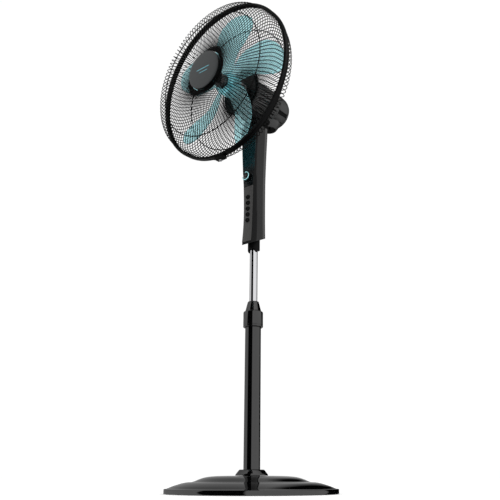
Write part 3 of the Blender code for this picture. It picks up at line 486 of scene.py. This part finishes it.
def build_pole():
    low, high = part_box("inner_pole")
    r = high.x
    tube = rounded([(r - 0.0012, low.z), (r, low.z), (r, high.z), (r - 0.0012, high.z)], 0.0003)
    add("pole_shell", spin(tube, 96), "chrome", "column", ["inner_pole"])


# ---------------------------------------------------------------- control neck
# height, half width, half width of the front face, its Y and the depth of the bevel beside it
NECK = (
    (0.598, 0.0223, 0.0149, -0.0306, 0.0125), (0.640, 0.0214, 0.0145, -0.0266, 0.0115),
    (0.690, 0.0210, 0.0145, -0.0248, 0.0110), (0.765, 0.0214, 0.0166, -0.0248, 0.0095),
    (0.805, 0.0225, 0.0195, -0.0250, 0.0080), (0.860, 0.0250, 0.0226, -0.0250, 0.0065),
    (0.905, 0.0275, 0.0243, -0.0250, 0.0060), (0.9375, 0.0291, 0.0261, -0.0245, 0.0055),
)
NECK_LOW, NECK_TOP = NECK[0][0], NECK[-1][0]
NECK_FLOOR_REAR = 0.623
NECK_SPLIT, NECK_REAR = 0.0100, 0.0234
NECK_WALL = 0.0020
PANEL_SEAM = 0.7610
KNOB_LOW, KNOB_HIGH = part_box("timer_knob")
KNOB_Z = (KNOB_LOW.z + KNOB_HIGH.z) / 2
BUTTON_BOXES = [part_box(f"push_button_{number}") for number in range(1, 6)]


def through(rows, at):
    """Smooth values of a table at a place of its first column."""
    last = len(rows) - 1
    i = 0
    while i < last - 1 and rows[i + 1][0] < at:
        i += 1
    span = rows[i + 1][0] - rows[i][0]
    t = min(max((at - rows[i][0]) / span, 0.0), 1.0)

    def slope(k, column):
        low, high = max(k - 1, 0), min(k + 1, last)
        return (rows[high][column] - rows[low][column]) / (rows[high][0] - rows[low][0])

    values = []
    for column in range(1, len(rows[0])):
        start, end = rows[i][column], rows[i + 1][column]
        a, b = slope(i, column) * span, slope(i + 1, column) * span
        values.append(start * (1 + 2 * t) * (1 - t) ** 2 + a * t * (1 - t) ** 2
                      + end * t * t * (3 - 2 * t) + b * t * t * (t - 1))
    return values


def soft_corners(points, radii, steps=5):
    """Open 2-D line with a corner radius at each point, ends left as they are."""
    result = [points[0]]
    for before, here, after, radius in zip(points, points[1:], points[2:], radii[1:]):
        arc = corner_arc(Vector(before), Vector(here), Vector(after), radius, steps)
        result += [tuple(point) for point in arc]
    result.append(points[-1])
    return result


def neck_floor(y):
    front = NECK[0][3]
    share = (y - front) / (NECK_REAR - front)
    return NECK_LOW + share * (NECK_FLOOR_REAR - NECK_LOW)


def neck_skin(outline, low, high, sloped=False, count=48):
    """Skin an outline up the neck; with sloped, its lowest part follows the slanted floor."""
    sections = []
    for step in range(count + 1):
        height = low + (high - low) * step / count
        section = []
        for x, y in outline(height):
            z = height
            if sloped:
                z = max(z, neck_floor(y) + 0.0010 * step / count)
            section.append((x, y, z))
        sections.append(section)
    return skin(sections)


def mirrored(right):
    """Close a right half into a whole outline: right side forwards, then left side back."""
    return right + [(-x, y) for x, y in reversed(right)]


def shell_outline(outer, inner):
    """Close right halves of an outer and an inner line into the outline of a thin wall."""
    left_outer = [(-x, y) for x, y in reversed(outer)]
    return outer + left_outer + [(-x, y) for x, y in inner] + inner[::-1]


def front_outline(height):
    half, face, front, bevel = through(NECK, height)
    front += 0.0017
    side = front + bevel
    outer = soft_corners([(half, NECK_SPLIT), (half, side), (face + 0.0004, front), (0, front)],
                         [0, 0.0042, 0.0012, 0])[:-1]
    inner = soft_corners([(half - NECK_WALL, NECK_SPLIT), (half - NECK_WALL, side + 0.0010),
                          (face - 0.0008, front + NECK_WALL), (0, front + NECK_WALL)],
                         [0, 0.003, 0.001, 0])[:-1]
    return shell_outline(outer, inner)


def rear_outline(height):
    half = through(NECK, height)[0]
    start = NECK_SPLIT + 0.0005
    outer = soft_corners([(half - 0.0004, start), (half - 0.0006, NECK_REAR),
                          (0, NECK_REAR + 0.0006)], [0, 0.0075, 0], steps=8)[:-1]
    wall = NECK_WALL
    inner = soft_corners([(half - wall, start), (half - wall, NECK_REAR - wall),
                          (0, NECK_REAR - wall + 0.0006)], [0, 0.0060, 0], steps=8)[:-1]
    return shell_outline(outer, inner)


def plate_outline(height, proud=0.0, inset=0.0):
    face, front = through(NECK, height)[1:3]
    half, edge = face - inset, front - proud
    right = soft_corners([(half, front + 0.0017), (half, edge), (0, edge)], [0, 0.0009, 0])[:-1]
    return mirrored(right)


def front_y(height):
    return through(NECK, height)[2]


def bore(piece, tools, sharp=35.0):
    """Cut tool meshes out of a piece and bake the result."""
    cutters = []
    for number, bm in enumerate(tools):
        bmesh.ops.recalc_face_normals(bm, faces=bm.faces)
        cutter = bpy.data.objects.new("cutter", mesh_of("cutter", bm))
        bpy.context.scene.collection.objects.link(cutter)
        cutters.append(cutter)
        step = piece.modifiers.new(f"hole {number}", "BOOLEAN")
        step.object = cutter
        step.operation = "DIFFERENCE"
        step.solver = "EXACT"
    bpy.context.view_layer.update()
    graph = bpy.context.evaluated_depsgraph_get()
    result = bpy.data.meshes.new_from_object(piece.evaluated_get(graph))
    piece.modifiers.clear()
    piece.data = result
    result.shade_smooth()
    result.set_sharp_from_angle(angle=math.radians(sharp))
    for cutter in cutters:
        bpy.data.objects.remove(cutter)


def rod(radius, centre, length, turn=0.0):
    """A round rod through a place, upright or turned about X, as a cutting tool."""
    bm = bmesh.new()
    matrix = Matrix.Translation(centre) @ Matrix.Rotation(math.radians(turn), 4, "X")
    bmesh.ops.create_cone(bm, cap_ends=True, segments=48, radius1=radius, radius2=radius,
                          depth=length, matrix=matrix)
    return bm


def tool_forward(radius, x, y, z):
    return rod(radius, (x, y, z), 0.02, turn=90)


def build_neck():
    shell = add("neck_front", neck_skin(front_outline, NECK_LOW, NECK_TOP, sloped=True),
                ("side", "bevel"), "column", ["neck_front_shell"], sharp=50)
    # faces turned to the front get the darker bevel copy of the same plastic: painted shade on
    # the bevels
    for face in shell.data.polygons:
        face.material_index = int(face.normal.y < -0.25)
    low = BUTTON_BOXES[-1][0].z - 0.003
    high = BUTTON_BOXES[0][1].z + 0.003
    front = front_y(0.7)
    bore(shell, [block((-0.0085, front - 0.01, low), (0.0085, front + 0.009, high)),
                 tool_forward(0.0052, 0, front_y(KNOB_Z), KNOB_Z)], sharp=50)
    rear = add("neck_rear", neck_skin(rear_outline, NECK_LOW, NECK_TOP, sloped=True), "gloss",
               "column", ["neck_rear_shell"], sharp=50)
    screw_low, screw_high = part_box("neck_lock_screw")
    bore(rear, [tool_forward(0.0041, 0, NECK_REAR, (screw_low.z + screw_high.z) / 2)], sharp=50)

    display = add("display_face", neck_skin(plate_outline, PANEL_SEAM + 0.0007, NECK_TOP),
                  "panel", "column", ["display_panel"])
    bore(display, [tool_forward(0.0037, 0, front_y(KNOB_Z), KNOB_Z)])
    face = add("button_face", neck_skin(plate_outline, NECK_LOW + 0.0075, PANEL_SEAM - 0.0007),
               "satin", "column", ["button_panel"])
    holes = []
    for low, high in BUTTON_BOXES:
        z = (low.z + high.z) / 2
        holes.append(tool_forward((high.x - low.x) / 2 + 0.0004, 0, front_y(z), z))
    bore(face, holes)


def build_neck_cap():
    """Top cover of the neck: crowned plate with a slot for the yoke."""
    low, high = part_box("neck_cap")
    half, face, front, bevel = through(NECK, NECK_TOP)
    sections = []
    for height, inset in ((low.z, 0.0), (high.z - 0.0012, 0.0), (high.z - 0.0004, 0.0006),
                          (high.z, 0.0018)):
        right = soft_corners([(0.0, NECK_REAR - inset), (half - inset, NECK_REAR - inset),
                              (half - inset, front + bevel), (face - inset, front + inset),
                              (0.0, front + inset)], [0, 0.0075, 0.004, 0.0012, 0])
        outline = right + [(-x, y) for x, y in reversed(right[1:-1])]
        sections.append([(x, y, height) for x, y in outline])
    cap = add("neck_lid", skin(sections), "matt", "column", ["neck_cap"])
    bore(cap, [block((-0.0102, -0.0155, low.z - 0.01), (0.0102, 0.0155, high.z + 0.01), 0.001)])


def build_collar():
    """Collar on the pole; its lower edge hangs to a rounded point on either side."""
    low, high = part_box("neck_collar")
    radius = high.x
    foot = 0.006
    bm = bmesh.new()
    count = 96
    profile = [(0.0102, 0.0), (radius - 0.0006, 0.0), (radius, 0.0006), (radius, 1.0),
               (0.0102, 1.0)]
    rings = []
    for i in range(count):
        angle = math.tau * i / count
        hang = foot * abs(math.cos(angle)) ** 4
        ring = []
        for r, share in profile:
            base = low.z + foot - hang
            z = high.z if share == 1.0 else base + share
            ring.append(bm.verts.new((r * math.cos(angle), r * math.sin(angle), z)))
        rings.append(ring)
    for i in range(count):
        here, after = rings[i], rings[(i + 1) % count]
        for j in range(len(profile)):
            k = (j + 1) % len(profile)
            bm.faces.new((here[j], here[k], after[k], after[j]))
    collar = add("collar_shell", bm, "matt", "column", ["neck_collar"])
    screw_low, screw_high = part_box("neck_lock_screw")
    bore(collar, [tool_forward(0.0034, 0, radius, (screw_low.z + screw_high.z) / 2)])


def build_buttons():
    """Round keys with a dished face, each in a thin collar."""
    for number, (low, high) in enumerate(BUTTON_BOXES, start=1):
        radius = (high.x - low.x) / 2
        z = (low.z + high.z) / 2
        proud, depth = -low.y, high.y - low.y
        face = [(0, -depth), (radius, -depth), (radius, -0.0010), (radius - 0.0003, -0.0004),
                (radius - 0.0009, 0.0), (radius - 0.0014, -0.0001), (radius - 0.0030, -0.0007),
                (0.0012, -0.0010), (0, -0.0010)]
        add(f"key_{number}", spin(face, 64), "matt", f"push_button_{number}",
            [f"push_button_{number}"], at=(0, -proud, z), turn=FORWARD)


def build_knob():
    """Ribbed timer knob, its pale C-shaped ring and a plain scale of ticks on the panel."""
    ring_low, ring_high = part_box("knob_ring")
    front = -KNOB_LOW.y
    face = -front_y(KNOB_Z)
    radius = (KNOB_HIGH.x - KNOB_LOW.x) / 2
    at = (0, 0, KNOB_Z)
    body = [(0, face - 0.0098), (0.0030, face - 0.0098), (0.0030, face + 0.0006),
            (radius - 0.0006, face + 0.0006), (radius, face + 0.0012), (radius, front - 0.0022),
            (radius - 0.0022, front - 0.0018), (radius - 0.0026, front - 0.0004),
            (radius - 0.0034, front), (0.0040, front + 0.0003), (0, front + 0.0003)]
    knob = spin(body, 96)
    for vert in knob.verts:
        flat = math.hypot(vert.co.x, vert.co.y)
        if flat > radius - 0.0003 and vert.co.z > face + 0.0010:
            notch = 0.00035 * (1 if round(math.atan2(vert.co.y, vert.co.x) * 96 / math.tau) % 2
                               else 0)
            pinch(vert, notch)
    add("knob_body", knob, "gloss", "timer_knob", ["timer_knob"], at=at,
        turn=FORWARD, sharp=30)
    arc = []
    start, end = math.radians(-8), math.radians(262)
    for step in range(61):
        angle = start + (end - start) * step / 60
        arc.append((radius * math.sin(angle), radius * math.cos(angle), -ring_low.y - 0.0004))
    add_wires("knob_mark", [arc], 0.0010, "cyan_ring", "timer_knob",
              ["knob_ring"], at=at, turn=FORWARD)
    ticks = bmesh.new()
    for step in range(11):
        angle = math.radians(60 + 24 * step)
        for r in (0.0150, 0.0162):
            matrix = (Matrix.Translation((r * math.sin(angle), r * math.cos(angle),
                                          face + 0.00015))
                      @ Matrix.Rotation(-angle, 4, "Z") @ Matrix.Diagonal((0.0005, 0.0009,
                                                                           0.0003, 1)))
            bmesh.ops.create_cube(ticks, size=1.0, matrix=matrix)
    add("dial_ticks", ticks, "legend", "column", at=at, turn=FORWARD)


# ---------------------------------------------------------------- motor and head fittings
def even_grooves(count, share):
    """Centre and half width in degrees of grooves spread evenly all round."""
    pitch = 360 / count
    return [((number + 0.5) * pitch, share * pitch / 2) for number in range(count)]


def ribbed(profile, grooves, depth):
    """Turned shell with straight grooves along it; each is a centre and a half width."""
    bm = bmesh.new()
    edges = []
    for centre, half in grooves:
        lip = min(0.5, half * 0.2)
        edges += [(centre - half, False), (centre - half + lip, True),
                  (centre + half - lip, True), (centre + half, False)]
    for angle in range(0, 360, 4):
        if all(abs((angle - centre + 180) % 360 - 180) > half + 1 for centre, half in grooves):
            edges.append((angle, False))
    edges.sort()
    angles = [math.radians(angle) for angle, _ in edges]
    inside = [sunk for _, sunk in edges]
    rings = []
    for radius, place, slotted in profile:
        ring = []
        for angle, sunk in zip(angles, inside):
            r = radius - (depth if sunk and slotted else 0.0)
            ring.append(bm.verts.new((r * math.sin(angle), r * math.cos(angle), place)))
        rings.append(ring)
    count = len(angles)
    for i in range(len(rings)):
        here, after = rings[i], rings[(i + 1) % len(rings)]
        slotted = profile[i][2] and profile[(i + 1) % len(rings)][2]
        for j in range(count):
            k = (j + 1) % count
            face = bm.faces.new((here[j], here[k], after[k], after[j]))
            face.material_index = int(slotted and inside[j] and inside[k])
    return bm


def build_motor():
    front_low, front_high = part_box("motor_front_housing")
    seam = -front_high.y
    boss_front = -front_low.y
    r = MOTOR_R
    wall = 0.0025
    profile = [
        (r - 0.0006, seam + 0.0002, False), (r, seam + 0.0010, False),
        (r, seam + 0.0060, False), (r, seam + 0.0066, True), (r, 0.0320, True),
        (r, 0.0326, False), (r, 0.0420, False), (r - 0.0008, 0.0460, False),
        (r - 0.0030, 0.0510, False), (r - 0.0080, 0.0538, False), (0.0300, 0.0550, False),
        (0.0186, 0.0552, False), (0.0182, 0.0556, False), (0.0180, boss_front - 0.0006, False),
        (0.0174, boss_front, False), (0.0090, boss_front, False), (0.0090, 0.0590, False),
        (0.0060, 0.0590, False), (0.0060, 0.0525, False), (0.0290, 0.0525, False),
        (0.0450, 0.0490, False), (r - wall - 0.0012, 0.0440, False),
        (r - wall - 0.0012, seam, False),
    ]
    add("motor_shell", ribbed(profile, even_grooves(40, 0.34), 0.0016),
        ("housing", "slot"), "head", ["motor_front_housing"], at=HEAD,
        turn=FORWARD, sharp=35)
    rear = -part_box("motor_rear_cover")[1].y
    edge = seam - 0.0003
    outer = [(r, edge, False), (r, edge - 0.0030, False), (0.0520, edge - 0.0040, True),
             (0.0507, edge - 0.0100, True),
             (0.0500, -0.0660, True), (0.0496, -0.0690, True), (0.0488, -0.0780, True),
             (0.0478, -0.0860, True), (0.0462, -0.0915, True), (0.0455, -0.0930, False),
             (0.0425, -0.0985, False), (0.0380, -0.1030, False), (0.0320, -0.1070, False),
             (0.0250, -0.1097, False), (0.0180, -0.1112, False), (0.0090, rear + 0.0004, False),
             (0.0010, rear, False)]
    inner = [(max(radius - wall, 0.0005), place + wall * (place < -0.08), False)
             for radius, place, _ in outer]
    grooves = [(120, 7), (148, 1.6), (212, 1.6), (240, 7), (62, 1.6), (298, 1.6)]
    cover = add("motor_dome", ribbed(outer + inner[::-1], grooves, 0.0014), ("housing", "slot"),
                "head", ["motor_rear_cover"], at=HEAD, turn=FORWARD, sharp=35)
    knob_y = sum(v.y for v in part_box("oscillation_pull_knob")) / 2
    crank_y = sum(v.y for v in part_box("oscillation_crank")) / 2
    bore(cover, [rod(0.0056, (0, knob_y, HEAD_Z + 0.05), 0.04),
                 rod(0.0061, (0, crank_y, HEAD_Z - 0.05), 0.04)])


def build_gear_cover():
    """Cup under the motor that hides the crank; open below, where the link comes out."""
    crank_low, crank_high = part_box("oscillation_crank")
    middle = (crank_low.y + crank_high.y) / 2
    floor = crank_low.z + 0.0014
    # rise above the cup's edge, half width, reach towards the guard and towards the rear
    rows = ((0.0, 0.0206, 0.0230, 0.0200), (0.0008, 0.0215, 0.0245, 0.0209),
            (0.0040, 0.0240, 0.0290, 0.0232), (0.0090, 0.0275, 0.0330, 0.0262),
            (0.0150, 0.0300, 0.0350, 0.0290), (0.0200, 0.0310, 0.0355, 0.0300))
    bm = bmesh.new()
    count = 72
    loops = []
    outer = [(floor + rise, side, front, rear) for rise, side, front, rear in rows]
    inner = [(z, side - 0.0014, front - 0.0014, rear - 0.0014) for z, side, front, rear in outer]
    for z, side, front, rear in outer + inner[::-1]:
        loop = []
        for i in range(count):
            angle = math.tau * i / count
            reach = rear if math.sin(angle) > 0 else front
            loop.append(bm.verts.new((side * math.cos(angle), middle + reach * math.sin(angle),
                                      z)))
        loops.append(loop)
    for here, after in zip(loops, loops[1:] + loops[:1]):
        for i in range(count):
            k = (i + 1) % count
            bm.faces.new((here[i], here[k], after[k], after[i]))
    add("gear_cover", bm, "housing", "head", sharp=45)


def build_pull_knob():
    low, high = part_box("oscillation_pull_knob")
    centre = (low + high) / 2
    r = (high.x - low.x) / 2
    top = high.z
    cap = top - 0.0124
    outline = [(0, low.z), (0.0040, low.z), (0.0040, cap), (r - 0.0009, cap),
               (r - 0.0006, cap + 0.0006), (r - 0.0004, top - 0.0060), (r, top - 0.0030),
               (r - 0.0006, top - 0.0012), (r - 0.0022, top - 0.0002), (0.0030, top), (0, top)]
    knob = spin(outline, 60)
    for vert in knob.verts:
        flat = math.hypot(vert.co.x, vert.co.y)
        if flat > r - 0.0007 and vert.co.z < top - 0.0020:
            share = 0.5 + 0.5 * math.cos(20 * math.atan2(vert.co.y, vert.co.x))
            pinch(vert, 0.0005 * share)
    add("swing_knob", knob, "matt", "oscillation_pull_knob",
        ["oscillation_pull_knob"], at=(centre.x, centre.y, 0))


def build_guard_plate():
    plate = [(0.0183, 0.0560), (0.0560, 0.0560), (0.0585, 0.0568), (0.0598, 0.0584),
             (0.0600, 0.0600), (0.0592, 0.0614), (0.0570, 0.0618), (0.0520, 0.0612),
             (0.0500, 0.0602), (0.0310, 0.0600), (0.0183, 0.0600)]
    add("guard_plate", spin(plate, 96), "ring", "head", ["rear_guard_plate"],
        at=HEAD, turn=FORWARD)
    nut = spin(rounded([(0.0183, 0.0602), (0.0280, 0.0602), (0.0276, 0.0660), (0.0250, 0.0700),
                        (0.0183, 0.0700)], 0.0006), 96)
    for vert in nut.verts:
        flat = math.hypot(vert.co.x, vert.co.y)
        if flat > 0.0262 and 0.0606 < vert.co.z < 0.0672:
            wave = 0.5 + 0.5 * math.cos(12 * math.atan2(vert.co.y, vert.co.x))
            pinch(vert, 0.0010 * wave)
    add("guard_nut", nut, "gloss", "head", ["rear_guard_nut"], at=HEAD,
        turn=FORWARD)


# ---------------------------------------------------------------- guards
FRONT_WIRE = (
    (0.2150, 0.1336), (0.2136, 0.1338), (0.2127, 0.1352), (0.2124, 0.1390), (0.2118, 0.1460),
    (0.2106, 0.1545), (0.2083, 0.1620), (0.2040, 0.1682), (0.1960, 0.1729), (0.1850, 0.1767),
    (0.1720, 0.1801), (0.1500, 0.1848), (0.1250, 0.1889), (0.1000, 0.1919), (0.0780, 0.1936),
    (0.0600, 0.1942), (0.0540, 0.1942),
)
REAR_WIRE = (
    (0.2150, 0.1264), (0.2136, 0.1262), (0.2127, 0.1248), (0.2124, 0.1210), (0.2116, 0.1130),
    (0.2096, 0.1040), (0.2050, 0.0955), (0.1975, 0.0885), (0.1870, 0.0832), (0.1720, 0.0782),
    (0.1500, 0.0727), (0.1250, 0.0677), (0.1000, 0.0636), (0.0780, 0.0605), (0.0640, 0.0594),
    (0.0590, 0.0592),
)


def guard_lines(profile, count, offset=0.0):
    lines = []
    for number in range(count):
        angle = math.tau * (number + offset) / count
        lines.append([(radius * math.sin(angle), radius * math.cos(angle), place)
                      for radius, place in profile])
    return lines


def build_guards():
    gap = WIRE_R + 0.0010
    for name, node, profile, side, rings, offset in (
            ("front_wires", "front_guard", FRONT_WIRE, 1,
             ((0.1720, 0.1801), (0.0600, 0.1942)), 0.0),
            ("rear_wires", "rear_guard", REAR_WIRE, -1,
             ((0.1720, 0.0782), (0.0640, 0.0594)), 0.5)):
        add_wires(name, guard_lines(profile, GUARD_WIRES, offset), WIRE_R, "wire", "head",
                  [node], at=HEAD, turn=FORWARD)
        loops = [circle_points(radius, place - side * gap) for radius, place in rings]
        add_wires(name.replace("wires", "hoops"), loops, 0.0013, "wire", "head",
                  at=HEAD, turn=FORWARD, cyclic=True)


def build_ring():
    """Band that clamps both rims, with a shallow channel round its outside."""
    r, mid, half = RING_R, RING_AT, RING_HALF
    outline = rounded([
        (0.2130, mid - half), (r - 0.0004, mid - half), (r, mid - half + 0.0006),
        (r, mid - 0.0030), (r - 0.0006, mid - 0.0024), (r - 0.0006, mid + 0.0024),
        (r, mid + 0.0030), (r, mid + half - 0.0006), (r - 0.0004, mid + half),
        (0.2130, mid + half), (0.2130, mid + half - 0.0016), (0.2170, mid + half - 0.0018),
        (0.2170, mid - half + 0.0018), (0.2130, mid - half + 0.0016),
    ], 0.0006, 3)
    add("ring_band", spin(outline, 256), "ring", "head", ["guard_ring"], at=HEAD,
        turn=FORWARD, sharp=50)
    low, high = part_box("ring_clip")
    clip = add("clip_block", block(low, high, 0.0022, 4), "matt", "head",
               ["ring_clip"])
    screw_low, screw_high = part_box("ring_clip_screw")
    centre = (screw_low + screw_high) / 2
    head = rounded([(0, screw_low.z), (0.0040, screw_low.z), (0.0043, screw_low.z + 0.0032),
                    (0.0018, screw_low.z + 0.0034), (0.0018, screw_high.z), (0, screw_high.z)],
                   0.0005)
    screw = add("clip_screw", spin(head, 48), "steel", "head", ["ring_clip_screw"],
                at=(centre.x, centre.y, 0))
    slot = block((centre.x - 0.006, centre.y - 0.0005, screw_low.z - 0.002),
                 (centre.x + 0.006, centre.y + 0.0005, screw_low.z + 0.0012), 0.0001, 1)
    bore(screw, [slot])
    return clip


# ---------------------------------------------------------------- badge
def build_badge():
    r = BADGE_R
    back = BADGE_BACK
    cup = rounded([
        (0, back), (r - 0.0060, back), (r - 0.0012, back + 0.0030), (r, back + 0.0050),
        (r, back + 0.0098), (r - 0.0016, back + 0.0106), (r - 0.0016, back + 0.0122),
        (r, back + 0.0130), (r, 0.1985), (r - 0.0010, 0.1999), (r - 0.0036, 0.2005),
        (r - 0.0040, 0.1997), (0, 0.1997),
    ], 0.0005, 3)
    add("badge_cup", spin(cup, 128), "ring", "head", ["badge_base"], at=HEAD,
        turn=FORWARD, sharp=40)
    face_r = 0.0516
    edge, crown = 0.2029, 0.0015
    face = [(0, 0.2000), (face_r, 0.2000), (face_r + 0.0004, 0.2006), (face_r + 0.0002, 0.2024)]
    for step in range(1, 13):
        share = 1 - step / 12
        face.append((face_r * share, edge + crown * (1 - share ** 2)))
    add("badge_face", spin(face, 128), "badge", "head", ["badge_cover"], at=HEAD,
        turn=FORWARD, sharp=35)
    mark = bmesh.new()
    for width, height, drop, shift in ((0.0460, 0.0024, 0.0030, 0.0),
                                       (0.0300, 0.0017, -0.0065, 0.0020)):
        base = []
        columns = 16
        for level in (0.0, 0.00025):
            rows = []
            for i in range(columns + 1):
                x = shift + width * (i / columns - 0.5)
                taper = math.sqrt(max(0.0, 1 - (2 * i / columns - 1) ** 8))
                pair = []
                for side in (-1, 1):
                    y = drop + side * height / 2 * max(taper, 0.2)
                    flat = math.hypot(x, y) / face_r
                    z = edge + crown * (1 - flat ** 2) + level
                    pair.append(mark.verts.new((x, y, z)))
                rows.append(pair)
            base.append(rows)
        low_rows, high_rows = base
        for i in range(columns):
            for rows in base:
                mark.faces.new((rows[i][0], rows[i + 1][0], rows[i + 1][1], rows[i][1]))
            for side in (0, 1):
                mark.faces.new((low_rows[i][side], low_rows[i + 1][side],
                                high_rows[i + 1][side], high_rows[i][side]))
        for i in (0, -1):
            mark.faces.new((low_rows[i][0], low_rows[i][1], high_rows[i][1], high_rows[i][0]))
    add("badge_mark", mark, "mark", "head", at=HEAD, turn=FORWARD)


# ---------------------------------------------------------------- impeller
BLADES = 5
BLADE_ROOT, BLADE_TIP = 0.0270, 0.1980
BLADE_PLANE = 0.118
BLADE_LEAN = -0.0043            # forward step of the blade's middle from root to tip
BLADE_THICK = 0.0020
BLADE_START = math.radians(2.5)  # first blade, clockwise from straight up seen from the front
PITCH_ROOT, PITCH_TIP = math.radians(20.7), math.radians(15.1)
# place along the blade as the share of a quarter turn, sweep in degrees, half chord
BLADE_ROWS = (
    (0.0, 0.3, 0.0160), (0.2, -3.6, 0.0320), (0.4, 4.7, 0.0443), (0.6, 10.2, 0.0471),
    (0.8, 14.3, 0.0313), (0.9, 14.6, 0.0178), (1.0, 13.5, 0.0),
)


def blade_point(turn, share, face):
    """A point of a blade: its station, across its chord and on its face, -1 or 1."""
    sweep, half = through(BLADE_ROWS, turn)
    half = max(half, 0.0002)
    along = math.sin(turn * math.pi / 2)
    radius = BLADE_ROOT + (BLADE_TIP - BLADE_ROOT) * along
    pitch = PITCH_ROOT + (PITCH_TIP - PITCH_ROOT) * along
    chord = share * half
    thick = BLADE_THICK * math.sqrt(max(0.0, 1 - abs(share) ** 10)) + 0.0002
    camber = 0.10 * half * (1 - share ** 2)
    lift = face * thick / 2 - camber
    around = chord * math.cos(pitch) + lift * math.sin(pitch)
    forward = BLADE_PLANE + BLADE_LEAN * (along - 0.5) - chord * math.sin(pitch)
    forward += lift * math.cos(pitch)
    angle = math.radians(sweep) + around / radius
    return radius * math.sin(angle), radius * math.cos(angle), forward


def build_impeller():
    rows, columns = 40, 28
    for number in range(BLADES):
        bm = bmesh.new()
        layers = []
        for face in (-1, 1):
            layer = []
            for i in range(rows + 1):
                layer.append([bm.verts.new(blade_point(
                    i / rows, -math.cos(math.pi * j / columns), face))
                    for j in range(columns + 1)])
            layers.append(layer)
        back, front = layers
        for i in range(rows):
            for j in range(columns):
                for layer in layers:
                    bm.faces.new((layer[i][j], layer[i + 1][j], layer[i + 1][j + 1],
                                  layer[i][j + 1]))
            for j in (0, -1):
                bm.faces.new((back[i][j], back[i + 1][j], front[i + 1][j], front[i][j]))
        for i in (0, -1):
            for j in range(columns):
                bm.faces.new((back[i][j], back[i][j + 1], front[i][j + 1], front[i][j]))
        turn = Matrix.Rotation(-(BLADE_START + math.tau * number / BLADES), 3, "Z")
        bmesh.ops.rotate(bm, verts=bm.verts, cent=(0, 0, 0), matrix=turn)
        add(f"blade_{number + 1}", bm, "blade", "rotor", ["impeller"],
            at=HEAD, turn=FORWARD, sharp=60)
    low = -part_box("spinner")[1].y
    hub = rounded([
        (0.0045, low - 0.0333), (0.0090, low - 0.0333), (0.0100, low - 0.0063),
        (0.0270, low - 0.0083), (0.0276, low - 0.0373), (0.0300, low - 0.0373),
        (0.0300, low - 0.0043), (0.0285, low - 0.0013), (0.0260, low - 0.0003),
        (0.0045, low - 0.0003),
    ], 0.0012)
    add("impeller_hub", spin(hub, 96), "blade", "rotor", ["impeller"],
        at=HEAD, turn=FORWARD)
    cap = [(0.0045, low), (0.0185, low), (0.0190, low + 0.0005), (0.0190, low + 0.0107),
           (0.0186, low + 0.0127), (0.0168, low + 0.0187), (0.0130, low + 0.0222),
           (0.0080, low + 0.0242), (0, low + 0.0247), (0, low + 0.0172), (0.0045, low + 0.0172)]
    cap_mesh = spin(cap, 60)
    for vert in cap_mesh.verts:
        flat = math.hypot(vert.co.x, vert.co.y)
        if flat > 0.0160 and vert.co.z < low + 0.0167:
            wave = max(0.0, math.cos(5 * math.atan2(vert.co.y, vert.co.x))) ** 3
            pinch(vert, 0.0016 * wave)
    add("spinner_cap", cap_mesh, "gloss", "rotor", ["spinner"], at=HEAD,
        turn=FORWARD)


# ---------------------------------------------------------------- carried-over CAD nodes
CAD_FINISH = {
    "painted": ("base_weight", "stator_stack"),
    "rubber": ("rubber_foot_1", "rubber_foot_2", "rubber_foot_3", "rubber_foot_4"),
    "steel": ("base_bolt", "tilt_bolt", "link_screw", "front_bearing", "rear_bearing",
              "motor_end_bell", "rotor_core", "motor_shaft"),
    "copper": ("front_coil", "rear_coil"),
    "matt": ("tube_plug", "tube_bush", "neck_lock_screw", "switch_block", "timer_body",
             "pivot_block", "tilt_yoke", "head_bracket", "gearbox", "run_capacitor",
             "oscillation_link", "oscillation_crank"),
}


def finish_cad_nodes():
    for mat, names in CAD_FINISH.items():
        for name in names:
            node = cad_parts[name]
            node.data.materials.clear()
            node.data.materials.append(MATS[mat])


def build_scene():
    add_camera()
    add_world()
    add_floor()
    build_base()
    build_height_nut()
    build_pole()
    build_neck()
    build_neck_cap()
    build_collar()
    build_buttons()
    build_knob()
    build_motor()
    build_gear_cover()
    build_pull_knob()
    build_guard_plate()
    build_guards()
    build_ring()
    build_badge()
    build_impeller()
    finish_cad_nodes()
    bpy.context.scene.view_settings.view_transform = "Standard"


build_scene()
